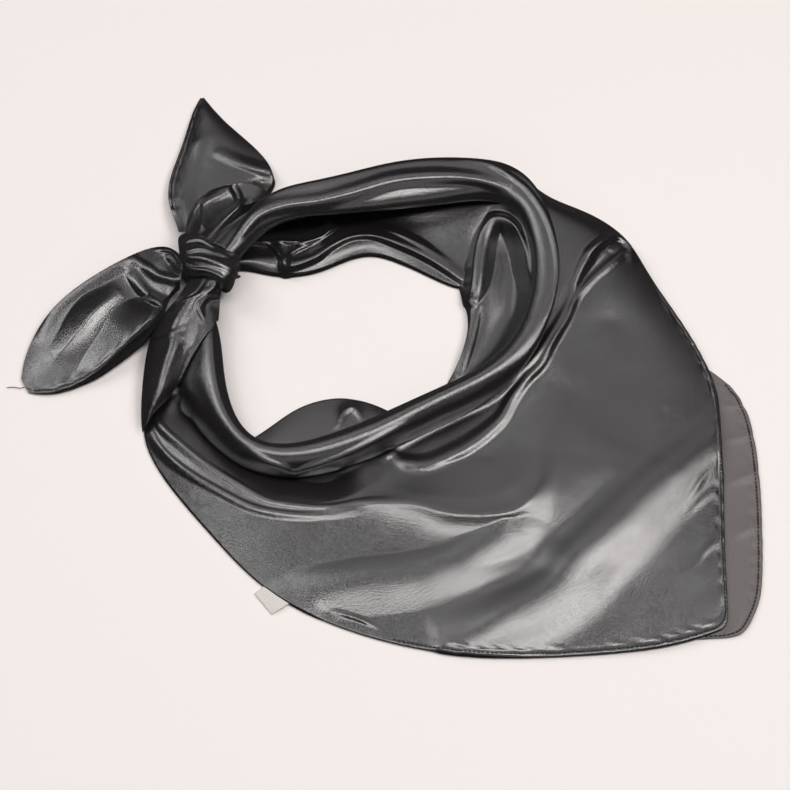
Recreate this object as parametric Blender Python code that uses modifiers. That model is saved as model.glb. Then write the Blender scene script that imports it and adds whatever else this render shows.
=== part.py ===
"""A satin square scarf, folded on its diagonal, tied in a square knot and laid on a table.

Millimetres in the tables, metres in Blender, +Z up. The viewer sits at -Y and looks down at it.
Cloth that lies flat is a PANEL: it spans two edge lines and rises between them. Cloth gathered into
a roll is an ARCH along a centre line. Folds are ridges and troughs along their own lines.
"""

import math
from collections import namedtuple

import bmesh
import bpy
import numpy as np

MM = 0.001

# The cloth's wall, the gap at seams and where it lies on the table, and the woven label
WALL = 1.4
GAP = 0.3
FLOOR_CLEARANCE = 0.2
TURN_UNDER = 1.2
LABEL_LONG, LABEL_SHORT, LABEL_THICK = 19.0, 13.0, 0.6

# The solid of the hidden layers: how far it keeps below the cloth, how far round it looks for the lowest
# cloth, and its height where it runs out
HIDDEN_CLEAR = WALL + 2.6
HIDDEN_REACH = 14.0
HIDDEN_LEAST = 0.6
# Where it begins and ends, as shares of the front's and the back roll's length
HIDDEN_FRONT = (0.03, 0.92)
HIDDEN_BACK = (0.12, 0.97)

# Where the eye stands that the edge and fold lines were sighted from
EYE_DISTANCE = 1403.0
EYE_TILT = math.radians(58.0)
EYE_UP = EYE_DISTANCE * math.sin(EYE_TILT)
EYE_BACK = EYE_DISTANCE * math.cos(EYE_TILT)

# The middle of the whole outline, which becomes the origin
MIDDLE = (-7.7, 27.7)

# Cloth colours, linear
SATIN = (0.060, 0.055, 0.057)
WRONG_SIDE = (0.105, 0.095, 0.095)
LABEL_WHITE = (0.80, 0.79, 0.77)


def seen(points):
    """Points (x, y, z) at height z that the eye sees over the table's point (x, y), as real points."""
    points = np.asarray(points, float)
    share = points[..., 2:] / EYE_UP
    real = points * (1 - share)
    real[..., 1] -= share[..., 0] * EYE_BACK
    real[..., 2] = points[..., 2]
    return real


def sighted(points):
    """The reverse of seen: the table's point (x, y) that the eye sees each real point over."""
    share = points[..., 2:] / EYE_UP
    flat = points[..., :2] / (1 - share)
    flat[..., 1] += share[..., 0] / (1 - share[..., 0]) * EYE_BACK
    return flat


def spline_weights(count, samples):
    """Weights of a uniform cubic B-spline over count control rows, which reaches both end rows."""
    weights = np.zeros((samples, count + 2))
    for row, place in enumerate(np.linspace(0, count - 1, samples)):
        span = min(int(place), count - 2)
        t = place - span
        weights[row, span:span + 4] += (
            (1 - t) ** 3 / 6,
            (3 * t**3 - 6 * t**2 + 4) / 6,
            (-3 * t**3 + 3 * t**2 + 3 * t + 1) / 6,
            t**3 / 6,
        )
    inner = weights[:, 1:-1].copy()
    inner[:, 0] += 2 * weights[:, 0]
    inner[:, 1] -= weights[:, 0]
    inner[:, -1] += 2 * weights[:, -1]
    inner[:, -2] -= weights[:, -1]
    return inner


def smooth_line(points, samples):
    """A curve through the given points, evenly sampled by length (centripetal Catmull-Rom)."""
    points = np.asarray(points, float)
    ends = np.vstack([2 * points[0] - points[1], points, 2 * points[-1] - points[-2]])
    knots = np.concatenate([[0], np.cumsum(np.linalg.norm(np.diff(ends, axis=0), axis=1) ** 0.5)])
    fine = []
    for i in range(1, len(ends) - 2):
        k0, k1, k2, k3 = knots[i - 1:i + 3]
        t = np.linspace(k1, k2, 12, endpoint=i == len(ends) - 3)[:, None]
        a1 = (k1 - t) / (k1 - k0) * ends[i - 1] + (t - k0) / (k1 - k0) * ends[i]
        a2 = (k2 - t) / (k2 - k1) * ends[i] + (t - k1) / (k2 - k1) * ends[i + 1]
        a3 = (k3 - t) / (k3 - k2) * ends[i + 1] + (t - k2) / (k3 - k2) * ends[i + 2]
        b1 = (k2 - t) / (k2 - k0) * a1 + (t - k0) / (k2 - k0) * a2
        b2 = (k3 - t) / (k3 - k1) * a2 + (t - k1) / (k3 - k1) * a3
        fine.append((k2 - t) / (k2 - k1) * b1 + (t - k1) / (k2 - k1) * b2)
    fine = np.vstack(fine)
    length = np.concatenate([[0], np.cumsum(np.linalg.norm(np.diff(fine, axis=0), axis=1))])
    places = np.linspace(0, length[-1], samples)
    return np.stack([np.interp(places, length, column) for column in fine.T], axis=1)


# A fold: its line as sighted (x, y), its height at each point of the line, how far it reaches to the
# left and the right of the line, and how round its top is
Fold = namedtuple("Fold", "name line height left right round")


def fold_relief(flat, fold):
    """Height that one fold adds at each sighted point: a rounded ridge that fades to both sides."""
    line = smooth_line([(*p, h) for p, h in zip(fold.line, fold.height)], 8 * len(fold.line))
    run = np.gradient(line[:, :2], axis=0)
    spread = flat.reshape(-1, 1, 2) - line[None, :, :2]
    distance = np.linalg.norm(spread, axis=2)
    nearest = distance.argmin(axis=1)
    pick = np.arange(len(nearest))
    away = distance[pick, nearest]
    to_point = spread[pick, nearest]
    along = run[nearest]
    leftward = along[:, 0] * to_point[:, 1] - along[:, 1] * to_point[:, 0]
    share = leftward / (np.linalg.norm(along, axis=1) * np.maximum(away, 1e-6))
    reach = fold.right + (fold.left - fold.right) * (0.5 + 0.5 * np.clip(2 * share, -1, 1))
    bell = np.exp(-(np.sqrt(away**2 + fold.round**2) - fold.round) / reach)
    return (line[nearest, 2] * bell).reshape(flat.shape[:-1])


def folded(points, folds):
    """Raises the points along the line of sight, so that each fold stays where it was sighted."""
    flat = sighted(points)
    height = points[..., 2] + sum(fold_relief(flat, fold) for fold in folds)
    height = np.maximum(height, WALL + FLOOR_CLEARANCE)
    return seen(np.concatenate([flat, height[..., None]], axis=-1))


# A station across a panel: both edges as sighted, five heights from edge to edge, how low the outer
# edge turns under (its foot), and how far out the hidden layers reach, as a share of the way (0 for a
# panel that has none under it)
Station = namedtuple("Station", "inner outer heights foot core")


def panel(stations, columns, rows, folds=()):
    """Points of a cloth panel: the stations' lines joined smoothly, with its folds and its outer foot."""
    shares = np.linspace(0, 1, 5)
    cage = []
    for station in stations:
        inner, outer = np.array(station.inner, float), np.array(station.outer, float)
        flat = inner + shares[:, None] * (outer - inner)
        cage.append(np.column_stack([flat, station.heights]))
    along = spline_weights(len(stations), columns)
    across = spline_weights(5, rows - 1)
    grid = np.einsum("ia,abk,jb->ijk", along, np.array(cage), across)
    points = folded(seen(grid), folds)
    outward = points[:, -1] - points[:, -3]
    outward[:, 2] = 0
    outward /= np.maximum(np.linalg.norm(outward, axis=1, keepdims=True), 1e-6)
    foot = points[:, -1] + TURN_UNDER * outward
    feet = along @ np.array([station.foot for station in stations], float)
    foot[:, 2] = np.minimum(points[:, -1, 2], feet)
    return np.concatenate([points, foot[:, None]], axis=1)


# A station along a roll: the real centre of the roll, its top, its half width towards the left and
# the right of its run, and the height of its left and right foot
Roll = namedtuple("Roll", "x y top left right left_foot right_foot")

# The section of a roll from its left foot over its top to its right foot: (side, height) shares
ARCH = ((-0.86, 0.0), (-1.08, 0.28), (-1.02, 0.72), (-0.5, 1.06), (0.0, 1.04), (0.5, 1.06), (1.02, 0.72),
        (1.08, 0.28), (0.86, 0.0))


def arch(rolls, columns, rows, section=ARCH):
    """Points of a roll of cloth: the section swept along the rolls' centres."""
    table = spline_weights(len(rolls), columns) @ np.array(rolls, float)
    centre = table[:, :2]
    run = np.gradient(centre, axis=0)
    run /= np.linalg.norm(run, axis=1, keepdims=True)
    leftward = np.stack([-run[:, 1], run[:, 0]], axis=1)
    top, left, right, left_foot, right_foot = table[:, 2:].T
    cage = []
    for side, height in section:
        half = left if side < 0 else right
        foot = left_foot if side < 0 else right_foot
        plan = centre - leftward * (side * half)[:, None]
        cage.append(np.column_stack([plan, foot + (top - foot) * height]))
    across = spline_weights(len(section), rows)
    return np.einsum("jb,bik->ijk", across, np.array(cage))


def above(points, under, reach=10.0, clear=WALL + GAP + 0.5):
    """Lifts points that lie over another sheet, so that they clear it."""
    below = under.reshape(-1, 3)
    gap = np.linalg.norm(points[..., None, :2] - below[:, :2], axis=-1)
    highest = np.where(gap < reach, below[:, 2], -np.inf).max(axis=-1)
    lifted = points.copy()
    lifted[..., 2] = np.maximum(points[..., 2], highest + clear)
    return lifted


# ---------------------------------------------------------------- the scarf's own sizes

FRONT_STATIONS = [
    Station((-124, 74), (-134, 78), (3, 3, 3, 3, 3), 2, 0.9),
    Station((-121, 50), (-138, 52), (3, 3, 3, 3, 3), 2, 0.9),
    Station((-121, 30), (-145, 30), (3, 3, 3, 3, 3), 2, 0.9),
    Station((-119, 12), (-149, 12), (3, 4, 4, 4, 3), 2, 0.9),
    Station((-118, -4), (-155, -8), (5, 5, 6, 6, 3), 1, 0.85),
    Station((-115, -18), (-160, -26), (6, 7, 11, 9, 3), 1.1, 0.85),
    Station((-110, -28), (-152, -48), (7, 8, 12, 9, 3), 1.1, 0.85),
    Station((-102, -37), (-136, -72), (7, 9, 12, 9, 3), 1.1, 0.8),
    Station((-86, -48), (-112, -101), (7, 10, 12, 8, 2.5), 1.1, 0.8),
    Station((-65, -53), (-82, -137), (7, 12, 11, 6, 1.8), 1.1, 0.75),
    Station((-40, -48), (-42, -161), (8, 13, 11, 6, 1.7), 1.7, 0.7),
    Station((-10, -36), (10, -178), (10, 15, 13, 7, 1.7), 1.7, 0.7),
    Station((20, -17), (62, -184), (12, 17, 14, 7, 1.7), 1.7, 0.7),
    Station((40, -5), (110, -182), (14, 19, 15, 8, 2.0), 2.0, 0.65),
    Station((55, 5), (160, -177), (16, 20, 16, 8, 3.7), 3.7, 0.5),
    Station((68, 14), (190, -167), (18, 21, 17, 9, 3.8), 3.8, 0.4),
    Station((78, 24), (200, -163), (19, 22, 18, 10, 3.7), 3.7, 0.33),
    Station((86, 35), (200, -145), (20, 23, 19, 11, 3.7), 3.7, 0.33),
    Station((93, 48), (202, -90), (20, 23, 19, 11, 3.7), 3.7, 0.33),
    Station((98, 62), (207, -30), (21, 23, 20, 12, 3.7), 3.7, 0.33),
    Station((101, 78), (206, 14), (22, 24, 21, 14, 5), 3.7, 0.33),
    Station((103, 95), (190, 55), (23, 25, 24, 18, 8), 1.0, 0.5),
    Station((102, 112), (172, 92), (24, 26, 25, 20, 9), 1.0, 0.7),
    Station((99, 130), (150, 122), (25, 26, 25, 20, 10), 1.0, 0.75),
    Station((92, 148), (122, 145), (26, 26, 25, 21, 12), 1.0, 0.75),
    Station((80, 163), (98, 165), (27, 27, 26, 23, 16), 1.0, 0.75),
    Station((68, 172), (80, 180), (28, 28, 27, 25, 21), 1.0, 0.75),
]

FRONT_FOLDS = [
    Fold("pocket", [(-138, -12), (-132, -32), (-115, -48), (-90, -61), (-65, -66), (-40, -65), (-18, -56)],
         [-1, -5, -6, -7, -7, -7, -2], 9, 6, 5),
    Fold("band ridge, inner", [(-157, -15), (-137, -38), (-110, -60), (-80, -79), (-55, -84), (-30, -81)],
         [3, 5, 5, 5, 5, 3], 3, 4, 2),
    Fold("band ridge, outer", [(-159, -20), (-145, -47), (-120, -67), (-90, -84), (-60, -90), (-35, -88)],
         [3, 5, 5, 5, 5, 3], 3, 10, 2.5),
    Fold("broad ridge", [(-30, -84), (-12, -79), (10, -80), (35, -88), (62, -87), (84, -78), (97, -60), (106, -40)],
         [2, 4, 6, 6, 6, 6, 5, 1], 8, 10, 4),
    Fold("slope behind the broad ridge", [(-5, -66), (25, -70), (55, -66), (78, -50), (92, -25), (105, 5)],
         [-3, -6, -7, -7, -6, 0], 8, 8, 6),
    Fold("nose ridge, inner", [(-2, -46), (20, -28), (43, -15), (62, -4), (87, 20), (106, 48), (119, 76),
                               (127, 99), (147, 124)],
         [3, 5, 6, 6, 6, 7, 7, 6, 5], 3, 4, 2),
    Fold("nose ridge, outer", [(-2, -46), (8, -54), (25, -54), (48, -41), (71, -18), (86, 10), (105, 40),
                               (121, 76), (142, 99), (154, 109), (148, 122)],
         [3, 5, 6, 6, 6, 6, 6, 6, 5, 5, 5], 4, 9, 2),
    Fold("nose valley", [(8, -46), (40, -30), (68, -9), (90, 14), (106, 40), (119, 70), (132, 96), (145, 113)],
         [-3, -6, -6, -5, -4, -4, -5, -2], 4, 4, 3),
    Fold("lower swell, left", [(-50, -124), (-20, -128), (10, -124), (45, -112), (70, -102), (86, -92)],
         [0, 3, 4, 5, 5, 2], 12, 10, 8),
    Fold("lower swell, right", [(50, -165), (85, -130), (115, -102), (150, -80), (190, -45)],
         [2, 5, 6, 6, 3], 12, 20, 10),
    Fold("valley between the swells", [(0, -168), (45, -148), (90, -118), (112, -85), (130, -50)],
         [-1, -4, -5, -4, 0], 10, 10, 6),
]

# The gathered roll round the opening, from the knot's right side over the back, round the right and the
# front and up the left arm. Left of its run is its outer side, right is the side of the opening
RING = [
    Roll(-103.5, 108.5, 25, 7, 6, 9, 14),
    Roll(-93, 125, 28, 10, 9, 3, 15),
    Roll(-76, 140, 31, 13, 12, 1, 16),
    Roll(-50, 146, 31, 13, 11, 1, 16),
    Roll(-25, 150, 33, 14, 13, 1, 16),
    Roll(0, 154, 36, 16, 17, 1, 14),
    Roll(25, 159, 37, 16, 16, 1, 15),
    Roll(50, 160, 37, 15, 15, 6, 18),
    Roll(69, 155, 36, 12, 12, 22, 22),
    Roll(83, 145, 36, 9, 9, 28, 24),
    Roll(92, 130, 36, 8, 8, 29, 24),
    Roll(97, 110, 35, 8, 8, 27, 24),
    Roll(99, 86, 34, 8, 8, 26, 23),
    Roll(97, 62, 33, 8, 8, 25, 22),
    Roll(90, 38, 32, 8, 8, 24, 20),
    Roll(79, 17, 31, 9, 9, 21, 18),
    Roll(65, 3, 30, 9, 10, 19, 14),
    Roll(49, -7, 28, 10, 10, 17, 6),
    Roll(20, -21, 26, 10, 11, 13, 1),
    Roll(-10, -39, 25, 10, 12, 12, 6),
    Roll(-40, -50, 23, 10, 10, 11, 8),
    Roll(-65, -56, 22, 9, 9, 10, 8),
    Roll(-88, -52, 22, 9, 8, 9, 5),
    Roll(-103, -37, 23, 9, 8, 9, 1),
    Roll(-113, -17, 24, 9, 8, 7, 1),
    Roll(-117, 6, 25, 9, 8, 5, 1),
    Roll(-118, 26, 25, 8, 8, 5, 1),
    Roll(-119, 46, 25, 8, 7, 5, 2),
    Roll(-121, 58, 25, 6, 6, 6, 5),
    Roll(-124, 72, 23, 4, 5, 9, 9),
    Roll(-123, 83.2, 22, 5, 4, 9, 9),
]
# Where the ring is divided into stretches, as shares of its stations
RING_STRETCHES = [("back_roll", 0.0, 0.28), ("right_rim", 0.28, 0.52), ("front_roll", 0.52, 0.79),
                  ("arm_inner", 0.79, 1.0)]

ARM_OUTER = [
    Roll(-133.5, 82.5, 22.3, 4, 5.5, 9, 9),
    Roll(-134, 75, 23, 4, 6, 9, 9),
    Roll(-139, 62, 25, 9, 12, 8, 5),
    Roll(-144, 48, 25, 12, 15, 6, 1),
    Roll(-147, 32, 25, 13, 14, 5, 1),
    Roll(-150, 14, 24, 11, 12, 5, 1),
    Roll(-152, 0, 22, 9, 10, 8, 2),
    Roll(-154, -12, 19, 6, 7, 9, 4),
    Roll(-156, -22, 15, 4, 4, 11, 8),
]

BACK_WALL_STATIONS = [
    Station((-97, 118), (-100, 104), (15, 13, 10, 7, 3), 1.1, 0),
    Station((-86, 134), (-87, 98), (17, 14, 11, 7, 3), 1.1, 0),
    Station((-71, 145), (-70, 94), (18, 15, 12, 8, 3), 1.1, 0),
    Station((-52, 149), (-50, 98), (18, 15, 12, 8, 3), 1.1, 0),
    Station((-32, 153), (-33, 108), (18, 15, 11, 7, 3), 1.1, 0),
    Station((-12, 156), (-16, 114), (18, 14, 10, 6, 3), 1.1, 0),
    Station((8, 160), (2, 107), (19, 14, 9, 5, 3), 1.1, 0),
    Station((28, 165), (22, 95), (20, 14, 9, 5, 3), 1.1, 0),
    Station((46, 167), (40, 84), (20, 14, 9, 5, 3), 1.1, 0),
    Station((58, 167), (54, 84), (20, 13, 8, 4, 2), 1.1, 0),
    Station((70, 165), (66, 100), (20, 14, 8, 4, 2), 1.1, 0),
    Station((82, 158), (78, 120), (20, 15, 10, 6, 3), 1.1, 0),
]

BACK_WALL_FOLDS = [
    Fold("bottom edge", [(-74, 99), (-50, 104), (-34, 114), (-16, 119), (2, 112), (22, 100), (40, 89)],
         [3, 3, 3, 3, 3, 3, 3], 3, 3, 2),
    Fold("fold from the knot", [(-96, 116), (-84, 118), (-77, 112), (-75, 102), (-71, 96)],
         [4, 5, 5, 5, 4], 3, 3, 2),
    Fold("nose by the knot", [(-68, 104), (-60, 112), (-48, 120), (-37, 128), (-38, 138), (-52, 139), (-66, 136)],
         [4, 5, 5, 5, 4, 3, 2], 3, 3, 2),
    Fold("valley under the nose", [(-60, 103), (-48, 110), (-38, 119), (-28, 128)],
         [-2, -4, -4, -3], 4, 4, 3),
]

RIGHT_WALL_STATIONS = [
    Station((82.8, 156.6), (66, 152), (26, 25, 24, 22, 20), 8, 0),
    Station((89.8, 142.4), (58, 138), (26, 20, 16, 16, 14), 6, 0),
    Station((93.7, 122), (51, 121), (25, 15, 11, 12, 9), 1.1, 0),
    Station((94.7, 104), (46, 106), (24, 13, 9, 10, 6), 1.1, 0),
    Station((93.7, 88), (43, 91), (23, 12, 8, 9, 4), 1.1, 0),
    Station((91.7, 74), (44, 75), (22, 12, 8, 8, 3), 1.1, 0),
    Station((88.6, 62), (50, 62), (22, 12, 8, 6, 3), 1.1, 0),
    Station((84.6, 50), (48, 47), (21, 12, 8, 6, 3), 1.1, 0),
    Station((76.6, 35.4), (43, 31), (20, 12, 8, 6, 3), 1.1, 0),
    Station((64.6, 23.4), (38, 17), (18, 11, 8, 6, 3), 1.1, 0),
    Station((50.6, 12.2), (33, 6), (15, 10, 8, 6, 3), 1.1, 0),
]

RIGHT_WALL_FOLDS = [
    Fold("pleat, near limb", [(52, 74), (56, 86), (57, 100), (60, 116), (66, 130), (73, 135)],
         [3, 5, 6, 6, 5, 5], 3, 4, 3),
    Fold("pleat, far limb", [(73, 135), (79, 127), (82, 112), (83, 96), (83, 82)],
         [5, 5, 4, 3, 1], 3, 3, 2),
    Fold("edge of the wall", [(52, 70), (51, 58), (50, 46), (46, 32), (41, 18)],
         [3, 4, 4, 4, 3], 2, 3, 1.5),
]

FLAP_STATIONS = [
    Station((-86, -45), (-92, -35), (5, 4, 4, 3, 2), 1.2, 0),
    Station((-73, -48), (-79, -25), (5, 5, 5, 4, 2), 1.2, 0),
    Station((-59, -46), (-65, -12), (6, 6, 5, 4, 2), 1.2, 0),
    Station((-45, -40), (-50, -5), (6, 6, 5, 4, 2), 1.2, 0),
    Station((-31, -34), (-33, -2), (6, 6, 5, 4, 2), 1.2, 0),
    Station((-16, -27), (-16, -6), (6, 6, 5, 4, 2), 1.2, 0),
    Station((-5, -20), (-2, -14), (5, 5, 5, 4, 2), 1.2, 0),
]

FLAP_FOLDS = [
    Fold("flap ridge", [(-35, -22), (-32, -12), (-27, -9), (-21, -17)], [1, 2.5, 2.5, 1], 2, 2, 1.5),
]

UNDER_STATIONS = [
    Station((164, 25), (200, 20), (1.6, 1.6, 1.6, 1.6, 1.6), 1.6, 0),
    Station((164, 12), (213, 9), (1.6, 1.6, 1.6, 1.6, 1.6), 1.6, 0),
    Station((164, -12), (224, -10), (1.6, 1.6, 1.6, 1.6, 1.6), 1.6, 0),
    Station((164, -45), (227, -45), (1.6, 1.6, 1.6, 1.6, 1.6), 1.6, 0),
    Station((164, -80), (226, -85), (1.6, 1.6, 1.6, 1.6, 1.6), 1.6, 0),
    Station((164, -110), (223, -125), (1.6, 1.6, 1.6, 1.6, 1.6), 1.6, 0),
    Station((161, -128), (220, -146), (1.6, 1.6, 1.6, 1.6, 1.6), 1.6, 0),
    Station((158, -138), (213, -160), (1.6, 1.6, 1.6, 1.6, 1.6), 1.6, 0),
    Station((152, -144), (207, -170), (1.6, 1.6, 1.6, 1.6, 1.6), 1.6, 0),
    Station((142, -148), (190, -171), (1.6, 1.6, 1.6, 1.6, 1.6), 1.6, 0),
    Station((128, -150), (168, -172), (1.6, 1.6, 1.6, 1.6, 1.6), 1.6, 0),
]

KNOT_BAND = [
    Roll(-121, 112, 27, 17, 19, 7, 7),
    Roll(-122, 107, 31, 20, 21, 5, 5),
    Roll(-123, 98, 32, 20, 21, 4, 4),
    Roll(-124, 89, 31, 20, 19, 4, 5),
    Roll(-125, 82, 25.5, 19, 15, 6, 7),
]
KNOT_CENTRE, KNOT_HALF = (-124.0, 97.5, 15.8), (17.6, 13.8, 15.0)

TAIL_TOP_STATIONS = [
    Station((-147, 129), (-122, 130), (14, 19, 20, 19, 14), 4, 0),
    Station((-152, 141), (-106, 145), (8, 16, 18, 16, 11), 1, 0),
    Station((-157, 155), (-90, 159), (5, 13, 16, 15, 10), 1.0, 0),
    Station((-156, 172), (-82, 172), (4, 11, 14, 14, 9), 1.0, 0),
    Station((-152, 188), (-86, 187), (3, 9, 12, 12, 7), 1.0, 0),
    Station((-149, 204), (-100, 204), (2.5, 7, 10, 9, 5), 1.0, 0),
    Station((-145, 220), (-116, 220), (2, 5, 7, 7, 4), 1.0, 0),
    Station((-142, 234), (-129, 235), (1.8, 3, 4, 4, 3), 1.0, 0),
    Station((-139, 242), (-135, 242), (1.7, 2, 2.2, 2, 1.8), 1.7, 0),
]

PETAL_STATIONS = [
    Station((-142, 135), (-119, 133), (20.2, 22.2, 23.2, 22.2, 20.2), 17, 0),
    Station((-144, 142), (-111, 139), (19.1, 21.1, 22.1, 22.1, 19.1), 15.2, 0),
    Station((-141, 153), (-102, 149), (18.1, 21.1, 22.1, 22.1, 19.1), 15.2, 0),
    Station((-131, 162), (-93, 160), (17.1, 20.1, 21.1, 21.1, 18.1), 15.2, 0),
    Station((-115, 168), (-92, 168), (16.1, 19.1, 20.1, 20.1, 18.1), 15.2, 0),
]

TAIL_LEFT_STATIONS = [
    Station((-147, 112), (-146, 91), (16, 22, 23, 22, 18), 12, 0),
    Station((-160, 117), (-155, 77), (13, 20, 22, 20, 14), 10, 0),
    Station((-176, 112), (-162, 60), (12, 18, 19, 17, 11), 8, 0),
    Station((-194, 100), (-170, 45), (10, 15, 17, 14, 9), 6, 0),
    Station((-213, 86), (-182, 29), (8, 12, 13, 11, 6), 4, 0),
    Station((-228, 68), (-197, 13), (5, 9, 10, 8, 4), 2, 0),
    Station((-237, 48), (-213, 5), (3, 6, 7, 5, 3), 1.8, 0),
    Station((-242, 28), (-228, 2), (2, 3.5, 4, 3.5, 2), 1.8, 0),
    Station((-243, 14), (-237, 3), (1.8, 2, 2, 2, 1.8), 1.8, 0),
]

TAIL_LEFT_FOLDS = [
    Fold("upper valley", [(-160, 84), (-178, 88), (-196, 78), (-212, 64)], [-2, -5, -5, -2], 5, 5, 3),
    Fold("middle ridge", [(-182, 80), (-196, 66), (-210, 48), (-222, 30)], [2, 4, 4, 1], 4, 5, 3),
    Fold("lower valley", [(-156, 76), (-172, 72), (-186, 58), (-198, 40), (-208, 22)], [-2, -5, -5, -4, -1], 5, 5, 4),
]

LABEL_HEM_FROM, LABEL_HEM_TO = (-81.3, -138.2), (-65.3, -148.2)


def material(name, colour, roughness, sheen=0.0):
    made = bpy.data.materials.new(name)
    made.use_nodes = True
    shader = made.node_tree.nodes["Principled BSDF"]
    shader.inputs["Base Color"].default_value = (*colour, 1)
    shader.inputs["Roughness"].default_value = roughness
    shader.inputs["Sheen Weight"].default_value = sheen
    return made


def plain_object(name, bm, finish):
    mesh = bpy.data.meshes.new(name)
    bm.to_mesh(mesh)
    bm.free()
    mesh.shade_smooth()
    mesh.materials.append(finish)
    part = bpy.data.objects.new(name, mesh)
    COLLECTION.objects.link(part)
    return part


def place(bm, points):
    """Puts the vertices of a flat 2 x 2 grid at a grid of points in millimetres."""
    columns, rows = points.shape[:2]
    for vertex in bm.verts:
        column = round((vertex.co.x + 1) / 2 * (columns - 1))
        row = round((vertex.co.y + 1) / 2 * (rows - 1))
        x, y, z = points[column, row]
        vertex.co = ((x - MIDDLE[0]) * MM, (y - MIDDLE[1]) * MM, z * MM)


def grid_up(points):
    """A bmesh grid through the points, its faces turned up."""
    columns, rows = points.shape[:2]
    bm = bmesh.new()
    bmesh.ops.create_grid(bm, x_segments=columns - 1, y_segments=rows - 1, size=1)
    place(bm, points)
    bm.normal_update()
    if sum(face.normal.z * face.calc_area() for face in bm.faces) < 0:
        bmesh.ops.reverse_faces(bm, faces=bm.faces)
    return bm


def sheet(name, points, finish, wall=WALL):
    """A cloth wall whose upper side runs through a grid of points."""
    part = plain_object(name, grid_up(points), finish)
    thick = part.modifiers.new("cloth", "SOLIDIFY")
    thick.thickness = wall * MM
    thick.offset = -1
    thick.use_even_offset = False
    thick.use_rim = True
    return part


def heap(name, points, finish):
    """A solid from the floor up to a grid of points."""
    bm = grid_up(points)
    top = list(bm.verts)
    bottom = list(bm.faces)
    bmesh.ops.extrude_face_region(bm, geom=bottom)
    for vertex in top:
        vertex.co.z = 0
    bmesh.ops.dissolve_faces(bm, faces=bottom, use_verts=True)
    bmesh.ops.recalc_face_normals(bm, faces=bm.faces)
    return plain_object(name, bm, finish)


def resampled(line, steps):
    """The points of a line at the given steps along its point numbers."""
    return np.stack([np.interp(steps, np.arange(len(line)), column) for column in line.T], axis=1)


def front_core(points, stations, columns, rows):
    """Where the hidden layers lie under the front: each line across it as far out as its station says."""
    reach = spline_weights(len(stations), columns) @ np.array([station.core for station in stations])
    last = len(points) - 1
    lines = []
    for i, share in enumerate(np.linspace(*HIDDEN_FRONT, columns)):
        first = int(share * last)
        line = points[first] + (share * last - first) * (points[first + 1] - points[first])
        lines.append(resampled(line, np.linspace(0.1, reach[i], rows) * (len(line) - 2)))
    return np.array(lines)


def back_core(roll, wall, columns, rows):
    """Where the hidden layers lie at the back: from the roll's outer side to the foot of the wall."""
    last_roll, last_wall = len(roll) - 1, len(wall) - 1
    shares = np.linspace(*HIDDEN_BACK, columns)
    outer = resampled(roll[:, 1], shares * last_roll)
    inner = resampled(wall[:, -3], shares * last_wall)
    steps = np.linspace(0.06, 1, rows)[None, :, None]
    return outer[:, None] + steps * (inner - outer)[:, None]


def hidden_under(plan, covers):
    """Lays the hidden layers' top over the given places, well below the cloth that covers them."""
    cloth = np.concatenate([cover.reshape(-1, 3) for cover in covers])
    gap = np.linalg.norm(plan[..., None, :2] - cloth[:, :2], axis=-1)
    lowest = np.where(gap < HIDDEN_REACH, cloth[:, 2], np.inf).min(axis=-1)
    low = plan.copy()
    low[..., 2] = np.maximum(lowest - HIDDEN_CLEAR, HIDDEN_LEAST)
    return low


def ellipsoid(name, centre, half, finish):
    bm = bmesh.new()
    bmesh.ops.create_uvsphere(bm, u_segments=16, v_segments=10, radius=1)
    for vertex in bm.verts:
        vertex.co = [(c + h * v) * MM for c, h, v in zip(centre, half, vertex.co)]
    bmesh.ops.translate(bm, verts=bm.verts, vec=(-MIDDLE[0] * MM, -MIDDLE[1] * MM, 0))
    return plain_object(name, bm, finish)


def care_label(name, finish):
    """A thin tape that lies on the table, its long side along the hem it is caught in."""
    start, end = np.array(LABEL_HEM_FROM), np.array(LABEL_HEM_TO)
    along = (end - start) / np.linalg.norm(end - start)
    outward = np.array([along[1], -along[0]])
    centre = (start + end) / 2 + outward * (LABEL_SHORT / 2 + GAP)
    bm = bmesh.new()
    bmesh.ops.create_cube(bm, size=1)
    for vertex in bm.verts:
        long, short, thick = vertex.co.x * LABEL_LONG, vertex.co.y * LABEL_SHORT, vertex.co.z * LABEL_THICK
        x, y = centre + along * long + outward * short
        z = FLOOR_CLEARANCE + LABEL_THICK / 2 + thick
        vertex.co = ((x - MIDDLE[0]) * MM, (y - MIDDLE[1]) * MM, z * MM)
    bmesh.ops.recalc_face_normals(bm, faces=bm.faces)
    return plain_object(name, bm, finish)


def ring_stretches(points):
    """The ring cut into its named stretches, a seam gap apart."""
    last = len(points) - 1
    for name, begin, end in RING_STRETCHES:
        stretch = points[round(begin * last):round(end * last) + 1].copy()
        if begin:
            step = stretch[1] - stretch[0]
            stretch[0] += step * 2 * GAP / np.linalg.norm(step, axis=1, keepdims=True)
        yield name, stretch


for old in list(bpy.data.objects):
    bpy.data.objects.remove(old)
COLLECTION = bpy.data.collections.new("satin_scarf")
bpy.context.scene.collection.children.link(COLLECTION)

satin = material("polyester satin", SATIN, 0.35, 0.1)
wrong_side = material("satin wrong side", WRONG_SIDE, 1.0, 0.1)
label_tape = material("white label tape", LABEL_WHITE, 0.8)

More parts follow.
